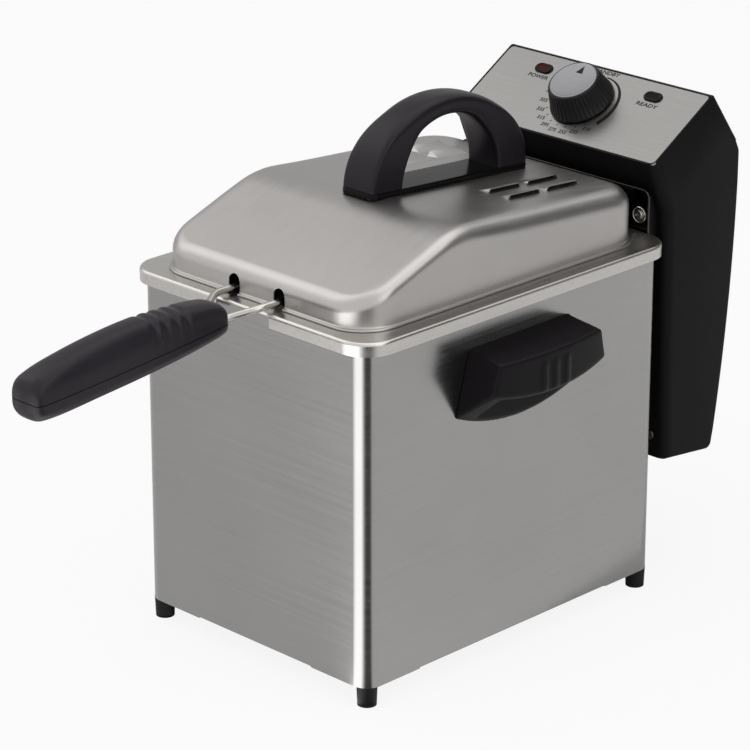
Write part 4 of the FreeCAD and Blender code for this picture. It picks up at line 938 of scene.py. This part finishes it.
def makeScrewHead(ringed):
    # a dished ring round the bracket's screws; the front plate's screws are plain
    r, ring, top = screwHead["radius"], screwHead["ring"], screwHead["top"]
    foot = ((ring, 0.0), (ring, 0.35), (ring - 0.25, 0.6), (ring - 0.6, 0.6), (ring - 0.85, 0.35),
            (ring - 1.0, 0.05)) if ringed else ((screwHead["skirt"], 0.0),)
    profile = foot + ((r + 0.05, 0.04), (r, 0.9), (0.93 * r, 1.25), (0.7 * r, 1.5), (0.4 * r, top),
                      (0.02, top))
    rings = [[(x, y, out) for x, y in circle(radius, screwHead["around"])] for radius, out in profile]
    head = localShape("screw_head", *closed(rings))
    bar, wide = screwHead["cross"], screwHead["crossWidth"] / 2
    for x, y in ((bar, wide), (wide, bar)):
        tool = boxMesh((-x, -y, top - screwHead["crossDepth"]), (x, y, top + 1))
        cutAway(head, localShape("cross_bar", *tool))
    return head


def screwSpots(at):  # a pair facing the front
    turn = (radians(90) + at["lean"], 0, 0)
    return [((side * at["x"], at["y"], at["z"]), turn) for side in (-1, 1)]


for name, at, ringed, finish, slot, node in (
        ("bracket_screw_heads", bracketScrews, True, "brightSteel", "bright_steel", "bracket_screws"),
        ("plate_screw_heads", plateScrews, False, "darkSteel", "dark_steel", "front_plate_screws")):
    place(scatter(name, makeScrewHead(ringed), screwSpots(at), finish), finish, "head", slot, [node])
print("screws done")


# Print on the panel: lamp names, dial arc, ticks and numbers

dial = {"ink": 0.06, "tickIn": 22.6, "tickOut": 24.0, "tickHalf": 0.014, "numberRadius": 27.6,
        "firstAngle": 137.0, "step": 16.9, "numberWidth": 6.0, "numberHeight": 2.9,
        "numbers": (215, 235, 255, 275, 295, 315, 335, 355, 375), "sweepFrom": 8, "sweepTo": 122,
        "sweepSteps": 32, "sweepRadius": 22.2, "sweepDrift": 3.0, "sweepWidth": 0.8, "sweepGrow": 2.4}
# words, x, up the panel, width and height in mm
labels = (("POWER", -44.6, 43.8, 16.4, 3.0), ("READY", 45.4, 43.6, 16.4, 3.0),
          ("STANDBY", -0.5, 60.2, 22.5, 3.0))


def textShape(words, width, height):  # flat lettering about its own middle, millimetres
    curve = bpy.data.curves.new("words", "FONT")
    curve.body = words
    curve.offset = 0.02
    obj = newObject("words", curve)
    mesh = finalMesh(obj)
    xs, ys = [v.co.x for v in mesh.vertices], [v.co.y for v in mesh.vertices]
    scaleX, scaleY = width / (max(xs) - min(xs)), height / (max(ys) - min(ys))
    midX, midY = (max(xs) + min(xs)) / 2, (max(ys) + min(ys)) / 2
    points = [((v.co.x - midX) * scaleX, (v.co.y - midY) * scaleY) for v in mesh.vertices]
    faces = [tuple(p.vertices) for p in mesh.polygons]
    bpy.data.objects.remove(obj)
    bpy.data.meshes.remove(mesh)
    return points, faces


def makePrint():
    ink, radius = dial["ink"], dial["numberRadius"]
    shapes = []

    def letter(words, x, up, width, height):
        points, faces = textShape(words, width, height)
        shapes.append(([onPanel(x + px, up + py, ink) for px, py in points], faces))

    for label in labels:
        letter(*label)
    for i, number in enumerate(dial["numbers"]):
        angle = radians(dial["firstAngle"] + dial["step"] * i)
        letter(str(number), radius * sin(angle), knob["up"] + radius * cos(angle),
               dial["numberWidth"], dial["numberHeight"])
        sides = (angle - dial["tickHalf"], angle + dial["tickHalf"])
        shapes.append(stitch([[onDial(r, a, ink) for a in sides] for r in (dial["tickIn"], dial["tickOut"])],
                             closedAround=False))
    rings = []
    for k in range(dial["sweepSteps"] + 1):  # sweep that widens towards the first number
        share = k / dial["sweepSteps"]
        angle = radians(blend(dial["sweepFrom"], dial["sweepTo"], share))
        inner = dial["sweepRadius"] + dial["sweepDrift"] * share
        outer = inner + dial["sweepWidth"] + dial["sweepGrow"] * share
        rings.append([onDial(inner, angle, ink), onDial(outer, angle, ink)])
    shapes.append(stitch(rings, closedAround=False))
    obj = shapeObject("panel_print", joined(shapes))
    fix = bmesh.new()  # all of the print faces out
    fix.from_mesh(obj.data)
    normal = Vector(onPanel(0, 0, 1)) - Vector(onPanel(0, 0, 0))
    bmesh.ops.reverse_faces(fix, faces=[f for f in fix.faces if f.normal.dot(normal) < 0])
    fix.to_mesh(obj.data)
    fix.free()
    place(obj, "printInk", "head", "black_plastic")


makePrint()
print("print done")


# CAD nodes that stay, with their finishes

kept = {
    "housingSteel": ("housing_shell", "base_plate", "rear_guide"), "footRubber": ("feet",),
    "brightSteel": ("foot_screws", "guide_rivets", "side_handle_screws", "lid_handle_screws", "element_ties",
                    "thermostat_bulb", "thermostat_shaft", "grip_screws"),
    "potSteel": ("oil_pot",), "panelSteel": ("control_panel",), "redLens": ("power_lamp",),
    # the element hood's dark finish is a painted reflection of the black head case
    "darkLens": ("ready_lamp",), "mirrorSteel": ("element_hood",), "darkSteel": ("heating_element",),
    "knobPlastic": ("thermostat", "thermal_cutout", "inlet_socket"), "paleBlock": ("terminal_block",),
    "redButton": ("reset_button",), "brass": ("inlet_pins",), "wireSteel": ("basket_rim", "basket_hanger")}
for finish, names in kept.items():
    for name in names:
        cadNodes[name].data.materials.clear()
        cadNodes[name].data.materials.append(finishes[finish])
print("kept nodes done")


# Camera at the photo's angle

view = {"azimuth": 44.86, "elevation": 20.98, "distance": 2158.62, "focal": 3480.2, "frame": 750,
        "sideways": -16.89, "upward": 138.89, "sensor": 36.0}  # focal length and frame in pixels
az, el = radians(view["azimuth"]), radians(view["elevation"])
backward = Vector((sin(az) * cos(el), -cos(az) * cos(el), sin(el)))
rightward = Vector((cos(az), sin(az), 0))
upward = backward.cross(rightward)
lens = bpy.data.cameras.new("camera")
lens.sensor_width = view["sensor"]
lens.lens = view["focal"] / view["frame"] * view["sensor"]
lens.clip_end = 20.0
camera = bpy.data.objects.new("camera", lens)
scene.collection.objects.link(camera)
spot = backward * view["distance"] + rightward * view["sideways"] + upward * view["upward"]
turn = Matrix((rightward, upward, backward)).transposed().to_4x4()
camera.matrix_world = Matrix.Translation(rowPoint(spot)) @ turn
scene.camera = camera
print("camera done")


# Studio: pale floor, white surround, soft lamps, and cards that only the steel mirrors

studio = {"floorHalf": 6.0, "paper": "#f2f2f2", "glow": 0.88, "ambient": 0.45, "aim": (0, 0.05, 0.15)}
# name, place, size in metres, watts, whether the steel mirrors it
softboxes = (("key_softbox", (0.2, -2.4, 2.1), (3.2, 3.2), 27, False),  # the lid clips to white if it does
             ("fill_softbox", (2.4, 0.5, 1.8), (2.3, 2.3), 14, True),
             ("left_softbox", (-2.2, -0.4, 2.2), (2.2, 2.2), 12, True),
             ("top_softbox", (0.1, 0.7, 2.8), (2.4, 2.2), 12, True))
sector = {"centre": rowPoint((84, -115, 1.5)), "reach": 1.8, "steps": 16, "fadeFrom": 0.6, "edge": 0.8}
# on the floor round the housing's front corner: name, from and to angle, strength
floorCards = (("front_card", -179, -130, 0.7), ("corner_card", -128, -63, 2.7),
              ("corner_shade", -63, -14, 0.08), ("right_card", -14, 80, 0.8))
# name, azimuth, distance, half width, low and high edge, colour
wallCards = (("rear_wall", 145, 2.6, 2.4, 0.05, 3.6, "#c4c4c4"),
             ("right_wall", 55, 2.2, 2.0, 0.3, 2.3, "#686868"))


def flatSheet(name, outline, finish):
    mesh = bpy.data.meshes.new(name)
    mesh.from_pydata(outline, [], [tuple(range(len(outline)))])
    mesh.materials.append(finish)
    sheet = newObject(name, mesh)
    return sheet


def makeFloor():
    finish, tree = newFinish("white_paper_floor")
    path = addNode(tree, "LightPath")
    paper = addNode(tree, "BsdfDiffuse", Color=linear(studio["paper"]))
    glow = addNode(tree, "Emission", Color=(1, 1, 1, 1), Strength=1.0)
    lit = addNode(tree, "MixShader", {1: paper, 2: glow}, Fac=studio["glow"])
    closeFinish(tree, addNode(tree, "MixShader", {
        0: path.outputs["Is Camera Ray"], 1: paper, 2: lit}))
    size = studio["floorHalf"]
    flatSheet("floor", [(-size, -size, 0), (size, -size, 0), (size, size, 0), (-size, size, 0)], finish)


def makeWorld():
    world = bpy.data.worlds.new("studio")
    scene.world = world
    world.use_nodes = True
    tree = world.node_tree
    tree.nodes.clear()
    path = addNode(tree, "LightPath")
    seen = path.outputs["Is Camera Ray"]
    for ray in ("Is Glossy Ray", "Is Transmission Ray"):
        seen = addNode(tree, "Math", {0: seen, 1: path.outputs[ray]}, operation="MAXIMUM")
    soft = addNode(tree, "Background", Color=(1, 1, 1, 1), Strength=studio["ambient"])
    white = addNode(tree, "Background", Color=(1, 1, 1, 1), Strength=1.0)
    mix = addNode(tree, "MixShader", {0: seen, 1: soft, 2: white})
    addNode(tree, "OutputWorld", {"Surface": mix})


def addLamp(name, place, size, power, mirrored):
    lamp = bpy.data.lights.new(name, "AREA")
    lamp.shape = "RECTANGLE"
    lamp.size, lamp.size_y = size
    lamp.energy = power
    obj = bpy.data.objects.new(name, lamp)
    scene.collection.objects.link(obj)
    obj.location = place
    obj.rotation_euler = (Vector(studio["aim"]) - Vector(place)).to_track_quat("-Z", "Y").to_euler()
    obj.visible_glossy = mirrored


def addCard(name, outline, finish):
    card = flatSheet(name, outline, finish)
    for kind in ("camera", "diffuse", "shadow", "transmission", "volume_scatter"):
        setattr(card, "visible_" + kind, False)


def sectorGlow(name, fromAngle, toAngle, strength):  # fades to the edge's level at both sides
    finish, tree = newFinish(name)
    spot = addNode(tree, "TexCoord")
    centred = addNode(tree, "VectorMath", {0: spot.outputs["Object"]}, operation="SUBTRACT")
    centred.inputs[1].default_value = sector["centre"]
    turn = addNode(tree, "TexGradient", {"Vector": centred}, gradient_type="RADIAL")
    share = addNode(tree, "MapRange", {"Value": turn.outputs["Fac"]}, To_Min=-1.0, To_Max=1.0,
                    From_Min=fromAngle / 360 + 0.5, From_Max=toAngle / 360 + 0.5)
    aside = addNode(tree, "Math", {0: share}, operation="ABSOLUTE")
    level = addNode(tree, "MapRange", {"Value": aside}, From_Min=sector["fadeFrom"],
                    From_Max=1.0, To_Min=strength, To_Max=sector["edge"], interpolation_type="SMOOTHSTEP")
    closeFinish(tree, addNode(tree, "Emission", {"Strength": level}, Color=(1, 1, 1, 1)))
    return finish


def addFloorCard(name, fromAngle, toAngle, strength):
    centre = sector["centre"]
    rim = arc(centre.x, centre.y, sector["reach"], fromAngle, toAngle, sector["steps"])
    outline = [centre] + [(x, y, centre.z) for x, y in rim]
    addCard(name, outline, sectorGlow(name, fromAngle, toAngle, strength))


def addWallCard(name, azimuth, distance, half, low, high, colour):
    ahead = Vector((cos(radians(azimuth)), sin(radians(azimuth)), 0))
    across = Vector((-ahead.y, ahead.x, 0)) * half
    corners = [ahead * distance + across * side + Vector((0, 0, z)) for side, z in
               ((-1, low), (1, low), (1, high), (-1, high))]
    finish, tree = newFinish(name)
    closeFinish(tree, addNode(tree, "Emission", Color=linear(colour), Strength=1.0))
    addCard(name, corners, finish)


makeFloor()
makeWorld()
for card in floorCards:
    addFloorCard(*card)
for card in wallCards:
    addWallCard(*card)
for softbox in softboxes:
    addLamp(*softbox)
print("studio done")
